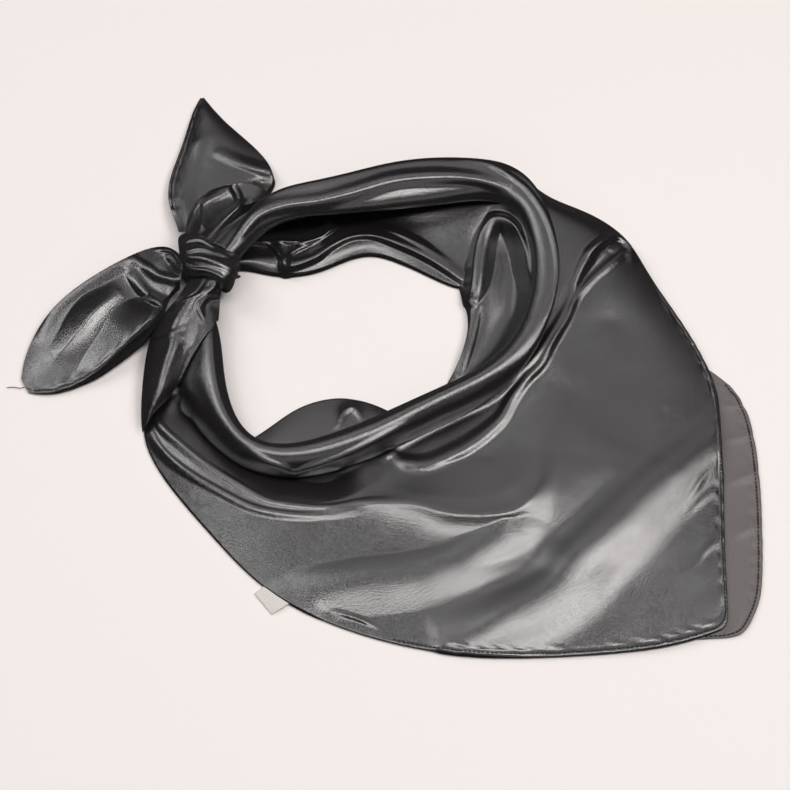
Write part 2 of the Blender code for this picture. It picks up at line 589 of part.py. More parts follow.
front = panel(FRONT_STATIONS, columns=52, rows=21, folds=FRONT_FOLDS)
flap = panel(FLAP_STATIONS, columns=12, rows=7, folds=FLAP_FOLDS)
back_wall = panel(BACK_WALL_STATIONS, columns=28, rows=12, folds=BACK_WALL_FOLDS)
right_wall = panel(RIGHT_WALL_STATIONS, columns=18, rows=11, folds=RIGHT_WALL_FOLDS)
right_wall = above(right_wall, back_wall, reach=7)
sheet("front_drape", front, satin)
sheet("under_drape", panel(UNDER_STATIONS, columns=18, rows=4), wrong_side)
sheet("inner_flap", flap, satin)
sheet("back_wall", back_wall, satin)
sheet("right_wall", right_wall, satin)

ring = arch(RING, columns=74, rows=9)
for lower in (front, flap, back_wall, right_wall):
    ring = above(ring, lower)
stretches = dict(ring_stretches(ring))
for stretch_name, stretch_points in stretches.items():
    sheet(stretch_name, stretch_points, satin)
sheet("arm_outer", above(arch(ARM_OUTER, columns=13, rows=9), front), satin)

hidden_front = front_core(front, FRONT_STATIONS, columns=30, rows=7)
heap("hidden_layers", hidden_under(hidden_front, [front]), satin)
hidden_back = back_core(stretches["back_roll"], back_wall, columns=18, rows=7)
heap("hidden_layers_back", hidden_under(hidden_back, [stretches["back_roll"], back_wall]), satin)

tail_top = panel(TAIL_TOP_STATIONS, columns=14, rows=9)
sheet("tail_top", tail_top, satin)
sheet("tail_petal", above(panel(PETAL_STATIONS, columns=9, rows=8), tail_top, reach=6), satin)
sheet("tail_left", panel(TAIL_LEFT_STATIONS, columns=16, rows=10, folds=TAIL_LEFT_FOLDS), satin)
ellipsoid("knot_core", KNOT_CENTRE, KNOT_HALF, satin)
sheet("knot_band", arch(KNOT_BAND, columns=8, rows=12), satin)
care_label("care_label", label_tape)
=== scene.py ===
"""The looks of a dark grey satin square scarf, tied in a square knot and laid on a table.

Millimetres in the tables, metres in Blender, +Z up. The viewer sits at -Y and looks down at it.
A PANEL spans two edge lines and rises between them, an ARCH is a roll of cloth along a centre line,
and folds are ridges and troughs along their own lines, raised towards the eye that sighted them.
"""

import math
from collections import namedtuple

import bmesh
import bpy
import numpy as np
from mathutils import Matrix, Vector


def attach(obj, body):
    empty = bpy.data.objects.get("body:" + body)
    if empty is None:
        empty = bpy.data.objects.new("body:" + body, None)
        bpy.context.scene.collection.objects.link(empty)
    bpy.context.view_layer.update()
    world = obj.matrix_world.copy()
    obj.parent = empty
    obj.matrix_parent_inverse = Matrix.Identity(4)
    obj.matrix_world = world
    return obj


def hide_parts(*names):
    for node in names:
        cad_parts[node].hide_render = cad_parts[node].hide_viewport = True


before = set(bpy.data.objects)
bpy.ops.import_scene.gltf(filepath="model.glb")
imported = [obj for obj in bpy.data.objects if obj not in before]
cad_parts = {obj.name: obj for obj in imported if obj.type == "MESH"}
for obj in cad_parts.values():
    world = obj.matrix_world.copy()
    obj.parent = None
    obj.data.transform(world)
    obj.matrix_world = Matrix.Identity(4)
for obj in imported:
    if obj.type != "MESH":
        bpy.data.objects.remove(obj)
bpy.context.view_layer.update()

MM = 0.001

# The cut cloth and its make
TURN_UNDER = 1.2
HEM = 2.6
HEM_RISE = 0.35
# The thread is drawn thicker than a real one of 0.3 mm, so that the stitches show
STITCH_PITCH, STITCH_LONG, STITCH_WIDE = 2.7, 1.9, 0.95
CLOTH, UNDER_CLOTH, LABEL_THICK = 0.4, 0.6, 0.5
UNEVEN = 0.06
# How far a sheet keeps above the one that it lies on: along a seam, and where it laps over
SEAM_GAP, LAP_GAP = 0.3, 0.5
# How high a single layer's top lies where it rests on the table, and the lowest that a fold may press it
LAID = 1.6
LOWEST = 1.2

# Where the eye stands that the edge and fold lines were sighted from
EYE_DISTANCE = 1403.0
EYE_TILT = math.radians(58.0)
EYE_UP = EYE_DISTANCE * math.sin(EYE_TILT)
EYE_BACK = EYE_DISTANCE * math.cos(EYE_TILT)

# The middle of the whole outline, which is the origin
MIDDLE = (-7.7, 27.7)


def seen(points):
    """Points (x, y, z) at height z that the eye sees over the table's point (x, y), as real points."""
    points = np.asarray(points, float)
    share = points[..., 2:] / EYE_UP
    real = points * (1 - share)
    real[..., 1] -= share[..., 0] * EYE_BACK
    real[..., 2] = points[..., 2]
    return real


def sighted(points):
    """The reverse of seen: the table's point (x, y) that the eye sees each real point over."""
    share = points[..., 2:] / EYE_UP
    flat = points[..., :2] / (1 - share)
    flat[..., 1] += share[..., 0] / (1 - share[..., 0]) * EYE_BACK
    return flat


def spline_weights(count, samples):
    """Weights of a uniform cubic B-spline over count control rows, which reaches both end rows."""
    weights = np.zeros((samples, count + 2))
    for row, place in enumerate(np.linspace(0, count - 1, samples)):
        span = min(int(place), count - 2)
        t = place - span
        weights[row, span:span + 4] += (
            (1 - t) ** 3 / 6,
            (3 * t**3 - 6 * t**2 + 4) / 6,
            (-3 * t**3 + 3 * t**2 + 3 * t + 1) / 6,
            t**3 / 6,
        )
    inner = weights[:, 1:-1].copy()
    inner[:, 0] += 2 * weights[:, 0]
    inner[:, 1] -= weights[:, 0]
    inner[:, -1] += 2 * weights[:, -1]
    inner[:, -2] -= weights[:, -1]
    return inner


def smooth_line(points, samples):
    """A curve through the given points, evenly sampled by length (centripetal Catmull-Rom)."""
    points = np.asarray(points, float)
    ends = np.vstack([2 * points[0] - points[1], points, 2 * points[-1] - points[-2]])
    knots = np.concatenate([[0], np.cumsum(np.linalg.norm(np.diff(ends[:, :2], axis=0), axis=1) ** 0.5)])
    fine = []
    for i in range(1, len(ends) - 2):
        k0, k1, k2, k3 = knots[i - 1:i + 3]
        t = np.linspace(k1, k2, 12, endpoint=i == len(ends) - 3)[:, None]
        a1 = (k1 - t) / (k1 - k0) * ends[i - 1] + (t - k0) / (k1 - k0) * ends[i]
        a2 = (k2 - t) / (k2 - k1) * ends[i] + (t - k1) / (k2 - k1) * ends[i + 1]
        a3 = (k3 - t) / (k3 - k2) * ends[i + 1] + (t - k2) / (k3 - k2) * ends[i + 2]
        b1 = (k2 - t) / (k2 - k0) * a1 + (t - k0) / (k2 - k0) * a2
        b2 = (k3 - t) / (k3 - k1) * a2 + (t - k1) / (k3 - k1) * a3
        fine.append((k2 - t) / (k2 - k1) * b1 + (t - k1) / (k2 - k1) * b2)
    fine = np.vstack(fine)
    length = np.concatenate([[0], np.cumsum(np.linalg.norm(np.diff(fine[:, :2], axis=0), axis=1))])
    places = np.linspace(0, length[-1], samples)
    return np.stack([np.interp(places, length, column) for column in fine.T], axis=1)


# A fold: its line as sighted (x, y), its height at each point of the line, how far it reaches to the
# left and the right of the line (one number or one at each point), how round its top is, and its form:
# SOFT fades to both sides, CRISP ends in a sharp foot, SHEEN is a gentle ridge just left of the line
# whose right flank is steepest on it, BROW has its crest left of the line by its roundness and falls
# ever steeper to a sharp foot on the right, RAMP rises evenly from the left and fades to the right, and
# SLOPE rises evenly towards the left and stays up
Fold = namedtuple("Fold", "name line height left right round form", defaults=("SOFT",))


def fold_relief(flat, fold):
    """Height that one fold adds at each sighted point."""
    count = len(fold.line)
    left, right = np.broadcast_to(fold.left, count), np.broadcast_to(fold.right, count)
    line = smooth_line(np.column_stack([fold.line, fold.height, left, right]), 14 * count)
    run = np.gradient(line[:, :2], axis=0)
    added = np.zeros(flat.shape[:-1])
    margin = (6 if fold.form in ("SOFT", "RAMP") else 2) * max(left.max(), right.max())
    near = np.all((flat > line[:, :2].min(0) - margin) & (flat < line[:, :2].max(0) + margin), axis=-1)
    spots = flat[near]
    away, nearest = np.full(len(spots), np.inf), np.zeros(len(spots), int)
    for i, centre in enumerate(line[:, :2]):
        distance = np.hypot(spots[:, 0] - centre[0], spots[:, 1] - centre[1])
        closer = distance < away
        away[closer], nearest[closer] = distance[closer], i
    # The true distance to the line's straight pieces next to the nearest point
    to_point = spots - line[nearest, :2]
    along = run[nearest] / np.maximum(np.linalg.norm(run[nearest], axis=1, keepdims=True), 1e-9)
    step = np.linalg.norm(run[nearest], axis=1)
    forward = np.clip((to_point * along).sum(axis=1), -step / 2, step / 2)
    ends = (nearest == 0) | (nearest == len(line) - 1)
    across = to_point - forward[:, None] * along
    away = np.linalg.norm(across, axis=1)
    leftward = along[:, 0] * to_point[:, 1] - along[:, 1] * to_point[:, 0]
    share = np.where(ends, leftward / np.maximum(away, 1e-6), np.sign(leftward))
    soft = np.clip(leftward / max(fold.round, 0.5), -1, 1)
    share = np.where(ends, share, soft)
    place = nearest + forward / np.maximum(step, 1e-9)
    height, left, right = (np.interp(place, np.arange(len(line)), line[:, i]) for i in (2, 3, 4))
    reach = right + (left - right) * (0.5 + 0.5 * share)
    drop = np.sqrt(away**2 + fold.round**2) - fold.round
    if fold.form == "CRISP":
        bell = np.clip(1 - drop / (np.sqrt(reach**2 + fold.round**2) - fold.round), 0, 1) ** 1.15
    elif fold.form == "BROW":
        rightward = fold.round - away * np.where(ends, share, np.sign(leftward))
        bell = np.where(rightward > 0, 1 - np.clip(rightward / (right + fold.round), 0, 1) ** 2,
                        0.5 + 0.5 * np.cos(np.pi * np.clip(-rightward / left, 0, 1)))
        bell *= np.exp(-(np.where(ends, (to_point * along).sum(axis=1) / 4, 0) ** 2))
    elif fold.form in ("RAMP", "SLOPE"):
        leftward = away * np.where(ends, share, np.sign(leftward))
        if fold.form == "SLOPE":
            bell = np.clip(leftward / left, 0, 1)
        else:
            bell = np.where(leftward > 0, 1 - np.clip(drop / left, 0, 1), np.exp(-drop / right))
        bell *= np.exp(-(np.where(ends, (to_point * along).sum(axis=1) / 6, 0) ** 2))
    elif fold.form == "SHEEN":
        crest = away * np.where(ends, share, np.sign(leftward)) - right / 2
        bell = 0.5 + 0.5 * np.cos(np.pi * np.clip(np.where(crest < 0, -crest / right, crest / left), 0, 1))
        bell *= np.exp(-(np.where(ends, (to_point * along).sum(axis=1) / 4, 0) ** 2))
    else:
        bell = np.exp(-drop / reach)
    added[near] = height * bell
    return added


def unevenness(flat):
    """The small soft waves that a laid cloth keeps everywhere."""
    x, y = flat[..., 0], flat[..., 1]
    return UNEVEN * (np.sin(x / 9.3 + 1.7 * np.sin(y / 21)) * np.sin(y / 8.1 + 1.3 * np.sin(x / 17))
                     + 0.6 * np.sin(x / 4.9 - y / 6.3 + 2 * np.sin((x + y) / 19)))


def folded(points, folds):
    """Raises the points along the line of sight, so that each fold stays where it was sighted."""
    flat = sighted(points)
    height = points[..., 2] + unevenness(flat)
    for fold in folds:
        height += fold_relief(flat, fold)
    height = np.maximum(height, LOWEST)
    return seen(np.concatenate([flat, height[..., None]], axis=-1))


# A station across a panel: both edges as sighted, five heights from edge to edge, and how low the outer
# edge turns under (its foot)
Station = namedtuple("Station", "inner outer heights foot")


def panel(stations, columns, rows, folds=()):
    """Points of a cloth panel: the stations' lines joined smoothly, with its folds and its outer foot."""
    shares = np.linspace(0, 1, 5)
    cage = []
    for station in stations:
        inner, outer = np.array(station.inner, float), np.array(station.outer, float)
        flat = inner + shares[:, None] * (outer - inner)
        cage.append(np.column_stack([flat, station.heights]))
    along = spline_weights(len(stations), columns)
    across = spline_weights(5, rows - 1)
    grid = np.einsum("ia,abk,jb->ijk", along, np.array(cage), across)
    points = folded(seen(grid), folds)
    outward = points[:, -1] - points[:, -3]
    outward[:, 2] = 0
    outward /= np.maximum(np.linalg.norm(outward, axis=1, keepdims=True), 1e-6)
    foot = points[:, -1] + TURN_UNDER * outward
    feet = along @ np.array([station.foot for station in stations], float)
    foot[:, 2] = np.minimum(points[:, -1, 2], feet)
    return np.concatenate([points, foot[:, None]], axis=1)


# A station along a roll: the real centre of the roll, its top, its half width towards the left and
# the right of its run, the height of its left and right foot, and how boxy its left side is
Roll = namedtuple("Roll", "x y top left right left_foot right_foot box", defaults=(0,))

# How much higher a wholly boxy left side stands at each place of the section
BOXY = (0.0, 0.2, 0.34, 0.12, 0.0, 0.0, 0.0, 0.0, 0.0)

# The section of a roll from its left foot over its top to its right foot: (side, height) shares
ARCH = ((-0.86, 0.0), (-1.08, 0.28), (-1.0, 0.68), (-0.52, 0.96), (0.0, 1.08), (0.52, 0.96), (1.0, 0.68),
        (1.08, 0.28), (0.86, 0.0))


def arch(rolls, columns, rows):
    """Points of a roll of cloth: the arch swept along the rolls' centres."""
    table = spline_weights(len(rolls), columns) @ np.array(rolls, float)
    centre = table[:, :2]
    run = np.gradient(centre, axis=0)
    run /= np.linalg.norm(run, axis=1, keepdims=True)
    leftward = np.stack([-run[:, 1], run[:, 0]], axis=1)
    top, left, right, left_foot, right_foot, box = table[:, 2:].T
    cage = []
    for (side, height), more in zip(ARCH, BOXY):
        half = left if side < 0 else right
        foot = left_foot if side < 0 else right_foot
        plan = centre - leftward * (side * half)[:, None]
        cage.append(np.column_stack([plan, foot + (top - foot) * (height + more * box)]))
    across = spline_weights(len(ARCH), rows)
    return np.einsum("jb,bik->ijk", across, np.array(cage))


# The map that one sheet's height is read on: the side of its cells, and half of its own side
CELL, HALF_MAP = 1.5, 270.0


def resting(points, under, rise):
    """Lifts points to lie at least rise above another sheet, read on a map of square cells."""
    size = int(2 * HALF_MAP / CELL)
    top = np.full((size, size), -np.inf)
    spots = under.reshape(-1, 3)
    place = np.clip(((spots[:, :2] + HALF_MAP) / CELL).astype(int), 0, size - 1)
    np.maximum.at(top, (place[:, 0], place[:, 1]), spots[:, 2])
    wide = top.copy()
    for dx in (-1, 0, 1):
        for dy in (-1, 0, 1):
            wide = np.maximum(wide, np.roll(top, (dx, dy), axis=(0, 1)))
    spot = np.clip(((points[..., :2] + HALF_MAP) / CELL).astype(int), 0, size - 1)
    lifted = points.copy()
    lifted[..., 2] = np.maximum(points[..., 2], wide[spot[..., 0], spot[..., 1]] + rise)
    return lifted


# ---------------------------------------------------------------- the scarf's own sizes

FRONT_STATIONS = [
    Station((-124, 74), (-134, 78), (LAID,) * 5, LAID),
    Station((-121, 50), (-138, 52), (LAID,) * 5, LAID),
    Station((-121, 30), (-145, 30), (LAID,) * 5, LAID),
    Station((-119, 12), (-149, 12), (1.6, 2, 2.5, 3, 2), 1.4),
    Station((-118, -4), (-155, -8), (2.5, 3, 6, 7.5, 2), 1.4),
    Station((-115, -18), (-160, -26), (5, 6.5, 9, 8, 2), 1.4),
    Station((-110, -28), (-152, -48), (8, 8.5, 8.5, 7, 2), 1.4),
    Station((-102, -37), (-136, -72), (8.5, 9, 8.5, 6.5, 2), 1.4),
    Station((-86, -48), (-112, -101), (8.5, 9, 8.5, 5.5, 2), 1.4),
    Station((-65, -53), (-82, -137), (8.5, 9, 8, 4.6, 1.8), 1.4),
    Station((-40, -48), (-42, -161), (9, 9, 7, 4, 1.7), 1.7),
    Station((-10, -36), (10, -178), (4, 9, 6.5, 3.6, 1.7), 1.7),
    Station((20, -17), (62, -184), (3, 10, 7, 3.6, 1.7), 1.7),
    Station((40, -5), (110, -182), (4, 11, 8, 4.5, 2.0), 2.0),
    Station((55, 5), (160, -177), (8, 12, 10, 5.5, 3.7), 3.7),
    Station((68, 14), (190, -167), (12, 12.5, 10.5, 6, 3.8), 3.8),
    Station((78, 24), (200, -163), (15, 12.5, 11, 6, 3.7), 3.7),
    Station((86, 35), (200, -145), (19, 13, 11.5, 6.5, 3.7), 3.7),
    Station((93, 48), (202, -90), (20, 13.5, 11.5, 9, 3.7), 3.7),
    Station((98, 62), (207, -30), (21, 14.5, 12.5, 9.5, 3.7), 3.7),
    Station((101, 78), (206, 14), (22, 17, 14, 11, 4.5), 3.7),
    Station((103, 95), (188, 55), (23, 20, 17.5, 14, 7), 1.0),
    Station((102, 108), (171, 87), (24, 22.5, 20, 16, 9), 1.0),
    Station((101, 120), (161, 112), (25, 24, 21.5, 18, 10), 1.0),
    Station((98, 131), (153, 127), (25, 24.5, 22.5, 19, 11), 1.0),
    Station((95, 141), (136, 142), (26, 25, 23, 19, 11), 1.0),
    Station((91, 149), (118, 151), (26, 25.5, 24, 20, 12), 1.0),
    Station((85, 157), (104, 158), (27, 26, 25, 22, 14), 1.0),
    Station((79, 164), (93, 169), (27, 27, 26, 23, 17), 1.0),
    Station((68, 172), (80, 181), (28, 28, 27, 25, 21), 1.0),
    Station((67, 158), (79, 168), (6, 6, 5, 4, 2), 1.0),
]

FRONT_FOLDS = [
    Fold("pocket behind the band", [(-154, -10), (-148, -20), (-134, -34), (-117, -49), (-98, -63),
          (-78, -74), (-59, -78), (-40, -78), (-26, -73), (-14, -65)],
         [-3, -7, -9, -10, -10, -10, -10, -10, -7, -1], [16, 20, 24, 24, 22, 20, 19, 18, 16, 14], 1, 1,
         "SLOPE"),
    Fold("band ridge, inner", [(-157, -14), (-150, -25), (-137, -38), (-120, -53), (-100, -67), (-80, -79),
          (-60, -83), (-40, -84), (-20, -80), (0, -79)], [0.6, 1.2, 1.2, 1.2, 1.2, 1.2, 1.2, 1.2, 0.7, 0],
         3, 5.5, 1, "SHEEN"),
    Fold("band ridge, outer", [(-160, -20), (-154, -35), (-145, -47), (-130, -60), (-110, -73), (-90, -84),
          (-75, -88), (-55, -90), (-38, -89), (-20, -86)], [0.6, 1.2, 1.3, 1.4, 1.4, 1.4, 1.4, 1.2, 0.7, 0],
         3, 6.5, 1, "SHEEN"),
    Fold("broad ridge", [(-45, -86), (-28, -83), (-12, -79), (10, -79), (35, -86), (60, -87), (76, -83),
          (86, -72), (91, -57), (93, -42)], [0, 2, 3.5, 4, 4, 4, 4, 3, 1.4, 0], 9,
         [11, 11, 11, 11, 11, 11, 12, 15, 18, 18], 2),
    Fold("broad ridge, corner", [(84, -78), (86, -88), (84, -100)], [1, 0.7, 0], 9, 9, 5),
    Fold("valley right of the corner", [(108, -48), (99, -72), (92, -98), (84, -110), (66, -120),
          (45, -126)], [0, -0.8, -1.2, -1.4, -1.2, 0], 10, 8, 3),
    Fold("nose, upper ridge", [(-3, -46), (5, -38), (20, -28), (43, -15), (62, -4), (75, 8), (87, 20),
          (97, 33), (106, 48), (113, 62), (119, 76), (122, 86), (127, 99), (135, 113), (145, 123)],
         [1.5, 2.2, 2.4, 2.4, 2.4, 2.4, 2.2, 2, 1.8, 1.6, 1.6, 1.8, 2.2, 2.4, 1.6],
         [4, 5, 6, 6, 6, 6, 5, 5, 5, 5, 5, 5, 6, 6, 5],
         [6, 7, 7.5, 7.5, 7.5, 7, 6.5, 6, 5.5, 5, 5, 5.5, 6.5, 7, 6], 1, "SHEEN"),
    Fold("nose, lower ridge", [(-3, -46), (5, -53), (20, -55), (38, -47), (48, -41), (60, -31), (71, -18),
          (78, -3), (86, 10), (96, 22), (105, 40), (115, 59), (121, 74), (131, 88), (142, 99), (154, 110)],
         [1.5, 2.5, 2.8, 2.8, 2.8, 2.8, 2.6, 2.4, 2.2, 2, 1.8, 1.6, 1.5, 1.8, 2, 1.5],
         [4, 7, 9, 9, 9, 8, 6, 5, 4.5, 4, 3, 3, 3, 4, 6, 5],
         [6, 8, 8, 8, 8, 8, 7.5, 7, 6, 5.5, 5, 4.5, 4.5, 5.5, 6, 5], 1, "SHEEN"),
    Fold("nose, outer end", [(132, 112), (141, 120), (149, 123), (155, 117), (155, 108)],
         [1, 2.6, 3.2, 2.8, 1], 4, 5.5, 1, "SHEEN"),
    Fold("hollow in the nose", [(112, 68), (121, 84), (132, 98), (143, 110)], [-0.5, -1.6, -3, -2], 3.5,
         3.5, 2),
    Fold("foot of the hook", [(-8, -66), (12, -73), (35, -76), (60, -74), (76, -65), (86, -50), (93, -33),
          (99, -17), (107, -3)], [1, 3, 4, 4, 4, 3.5, 3, 2, 0.5], [14, 18, 24, 28, 24, 20, 18, 16, 12],
         [30, 30, 34, 36, 36, 34, 30, 26, 20], 3, "RAMP"),
    Fold("lower swell, left", [(-62, -142), (-40, -136), (-20, -132), (5, -129), (30, -123), (55, -113),
          (76, -103)], [1, 2.6, 3, 3, 3, 3, 2], 14, 26, 24, "CRISP"),
    Fold("lower swell, right", [(30, -186), (52, -180), (76, -170), (97, -159), (112, -146), (124, -130),
          (137, -117), (151, -103), (164, -88), (177, -74), (190, -62), (204, -50), (232, -24)],
         [2, 4, 5.8, 5.8, 5.8, 5.8, 5.8, 5.8, 5.6, 5.4, 5, 4.6, 4],
         [30, 27, 24, 22, 22, 22, 23, 24, 24, 24, 24, 24, 24],
         [22, 28, 36, 38, 38, 38, 37, 35, 33, 32, 30, 28, 26], 1, "SHEEN"),
    Fold("dimple in the right swell, above", [(116, -131), (123, -122), (132, -110)], [-0.3, -0.7, -0.3], 5,
         5, 3),
    Fold("dimple in the right swell, below", [(125, -142), (134, -130), (143, -118)], [0.3, 0.7, 0.3], 5, 5,
         3),
    Fold("crease between the swells", [(141, -56), (127, -73), (117, -87), (107, -102), (98, -113)],
         [0, -0.7, -0.9, -0.7, 0], 8, 9, 4),
    Fold("small crease by the hem", [(-43, -147), (-41, -153), (-42, -160)], [0, -0.9, -0.5], 1.5, 2.5, 1),
    Fold("crumple by the hem", [(-34, -156), (-22, -160), (-12, -165)], [0.3, 1, 0.3], 2.5, 3, 1, "SHEEN"),
    Fold("pucker by the right hem, upper", [(183, -77), (188, -70), (194, -61), (201, -55)],
         [0.2, 0.7, 0.9, 0.6], 2.5, 2.5, 0.8, "SHEEN"),
    Fold("pucker by the right hem, middle", [(184, -86), (190, -79), (199, -72)], [0.2, 0.7, 0.8], 2, 2.5,
         0.8, "SHEEN"),
    Fold("pucker by the right hem, lower", [(187, -119), (192, -112), (198, -107)], [0.2, 0.7, 0.7], 2, 2.5,
         0.8, "SHEEN"),
    Fold("dimple by the shoulder", [(143, 58), (147, 53)], [-0.8, -0.8], 7, 7, 5),
    Fold("dimple on the plateau", [(104, 8), (109, 2)], [-0.7, -0.7], 8, 8, 5),
    Fold("pock", [(170, -13), (172, -13)], [-0.35, -0.35], 1, 1, 1),
]

# The gathered roll round the opening, from the knot's right side over the back, round the right and the
# front and up the left arm. Left of its run is its outer side, right is the side of the opening
RING = [
    Roll(-113, 93, 22, 5, 5, 10, 12),
    Roll(-104, 103, 25, 7, 6, 9, 14),
    Roll(-93, 120, 28, 10, 7, 3, 15, 0.7),
    Roll(-75, 132, 30, 14, 9, 1, 21, 1),
    Roll(-50, 136, 31, 15, 10.5, 1, 21, 1),
    Roll(-25, 140, 33, 17, 12.5, 1, 21, 1),
    Roll(0, 145, 35, 19, 15, 1, 21, 1),
    Roll(25, 148, 36, 19, 15, 1, 21, 1),
    Roll(50, 148, 36, 20, 11, 6, 22, 0.8),
    Roll(67, 145, 36, 20, 8, 20, 22, 0.6),
    Roll(80, 138, 36, 14, 8, 27, 24, 0.8),
    Roll(90, 126, 36, 9, 8, 29, 24, 1),
    Roll(96, 108, 35, 8, 8, 27, 24, 1),
    Roll(99, 86, 34, 8, 8, 26, 23, 1),
    Roll(97, 62, 33, 8, 8, 25, 22, 1),
    Roll(90, 38, 32, 8, 8, 24, 20, 0.8),
    Roll(79, 17, 31, 9, 9, 21, 18, 0.3),
    Roll(65, 3, 30, 9, 10, 10, 14),
    Roll(49, -7, 28, 10, 10, 5, 6),
    Roll(20, -21, 26, 10, 11, 3, 1),
    Roll(-10, -39, 25, 10, 12, 3, 6),
    Roll(-40, -50, 23, 10, 10, 2, 8),
    Roll(-65, -56, 22, 9, 9, 2, 8),
    Roll(-88, -52, 22, 9, 8, 2, 5),
    Roll(-103, -37, 23, 11, 8, 2, 1, -0.3),
    Roll(-112, -17, 24, 17, 8, 1, 1, -0.9),
    Roll(-116, 6, 25, 22, 7, 1, 1, -1),
    Roll(-117, 26, 24, 19, 6, 1, 1, -1),
    Roll(-120, 44, 21, 10, 6, 3, 2, -0.5),
    Roll(-124, 56, 19, 6, 5, 6, 5),
    Roll(-126, 66, 17, 4, 5, 8, 8),
    Roll(-126, 76, 16, 5, 4, 8, 8),
]

RING_FOLDS = [
    Fold("back crest", [(-101, 127), (-91, 140), (-75, 147), (-50, 151), (-25, 159), (0, 168), (25, 171),
          (54, 170), (78, 161)], [1, 1.8, 2.4, 2.6, 2.8, 3, 3, 2.4, 0], 9, [6, 8, 10, 11, 12, 12, 12, 9, 6],
         1, "SHEEN"),
    Fold("outer line of the rim", [(56, 189), (66, 186), (76, 179), (84, 172), (91, 164), (101, 145),
          (107, 122), (109, 98), (106, 78), (100, 60)], [0.5, 1, 1.5, 1.5, 1.5, 1.5, 1.5, 1.5, 1, 0.5], 2,
         4, 0.8, "CRISP"),
    Fold("turned patch above the rim", [(50, 193), (62, 190), (74, 183)], [2, 2.5, 2], 3, 8, 2),
    Fold("front, second crest", [(-96, -42), (-84, -51), (-73, -56), (-64, -61), (-52, -57), (-35, -50),
          (-20, -42), (0, -30), (16, -20)], [0, 1, 1.6, 2.2, 1.8, 1.4, 1.2, 0.8, 0], 5, 5, 1, "SHEEN"),
    Fold("bump of the inner strand", [(-133, 14), (-133, 4)], [2, 2], 4, 4, 2),
]

OUTER_STRAND_STATIONS = [
    Station((-113, 92), (-136, 90), (20, 24, 25, 25, 19), 12),
    Station((-115, 82), (-143, 75), (18, 22, 25, 24.5, 16), 8),
    Station((-115, 68), (-153, 61), (17, 21, 24.5, 23.5, 13), 1.1),
    Station((-115, 53), (-159, 46), (16, 21, 24, 23, 11), 1.1),
    Station((-120, 43), (-161, 31), (15, 20, 23, 22, 10), 1.1),
    Station((-130, 27), (-162, 14), (13, 18, 22, 21, 10), 1.1),
    Station((-138, 10), (-162, -2), (11, 16, 20, 19, 9), 1.1),
    Station((-145, -4), (-161, -16), (9, 13, 15, 15, 8), 1.1),
    Station((-153, -12), (-159, -26), (7, 9, 10, 9, 5), 1.1),
]

OUTER_STRAND_FOLDS = [
    Fold("long crease, upper end", [(-133, 90), (-137, 80), (-141, 73), (-147, 60), (-152, 47)],
         [1, 2, 2.2, 2.4, 1], 9, 8, 1, "SHEEN"),
    Fold("long crease", [(-146, 46), (-148, 40), (-150, 30), (-152, 17), (-153, 4), (-155, -6)],
         [1.5, 2.5, 2.5, 2.5, 2.2, 1], 9, 8, 1, "SHEEN"),
    Fold("tick", [(-154, 44), (-147, 46), (-139, 50)], [1.2, 1, 0.3], 3, 2.5, 1, "SHEEN"),
    Fold("bent crease by the neck", [(-118, 79), (-125, 77), (-130, 68), (-126, 57), (-122, 48),
          (-129, 43)], [1.2, 2, 2, 2, 1.8, 0.6], 4, 4, 1, "SHEEN"),
    Fold("dab beside it", [(-119, 63), (-118, 58)], [1, 0.8], 2.5, 2.5, 1.5),
    Fold("neck strand, left", [(-126, 91), (-131, 82), (-140, 76), (-146, 71)], [2, 2.5, 2.5, 1], 3, 3, 1,
         "BROW"),
    Fold("neck strand, right", [(-118, 91), (-121, 83), (-127, 79)], [2, 2.5, 1], 3, 3, 1, "BROW"),
]

BACK_WALL_STATIONS = [
    Station((-110, 112), (-111, 99), (6, 7, 8, 8, 5), 3),
    Station((-97, 120), (-100, 101), (4, 4, 7, 9, 4), 1.1),
    Station((-86, 130), (-87, 97), (3, 3, 5, 9, 4), 1.1),
    Station((-71, 139), (-70, 94), (3, 3, 4, 8, 4), 1.1),
    Station((-52, 143), (-50, 98), (3, 3, 4, 8.5, 4), 1.1),
    Station((-32, 149), (-33, 108), (4, 4, 4, 8.5, 4), 1.1),
    Station((-12, 152), (-16, 114), (7, 6, 5, 8.5, 4), 1.1),
    Station((8, 156), (2, 107), (14, 9, 6, 8, 4), 1.1),
    Station((28, 160), (22, 95), (17, 12, 8, 7, 3), 1.1),
    Station((46, 162), (40, 84), (17, 13, 9, 6, 3), 1.1),
    Station((58, 162), (54, 84), (18, 14, 8, 5, 2), 1.1),
    Station((70, 160), (66, 100), (20, 15, 8, 4, 2), 1.1),
    Station((82, 155), (78, 120), (22, 15, 10, 6, 3), 1.1),
]

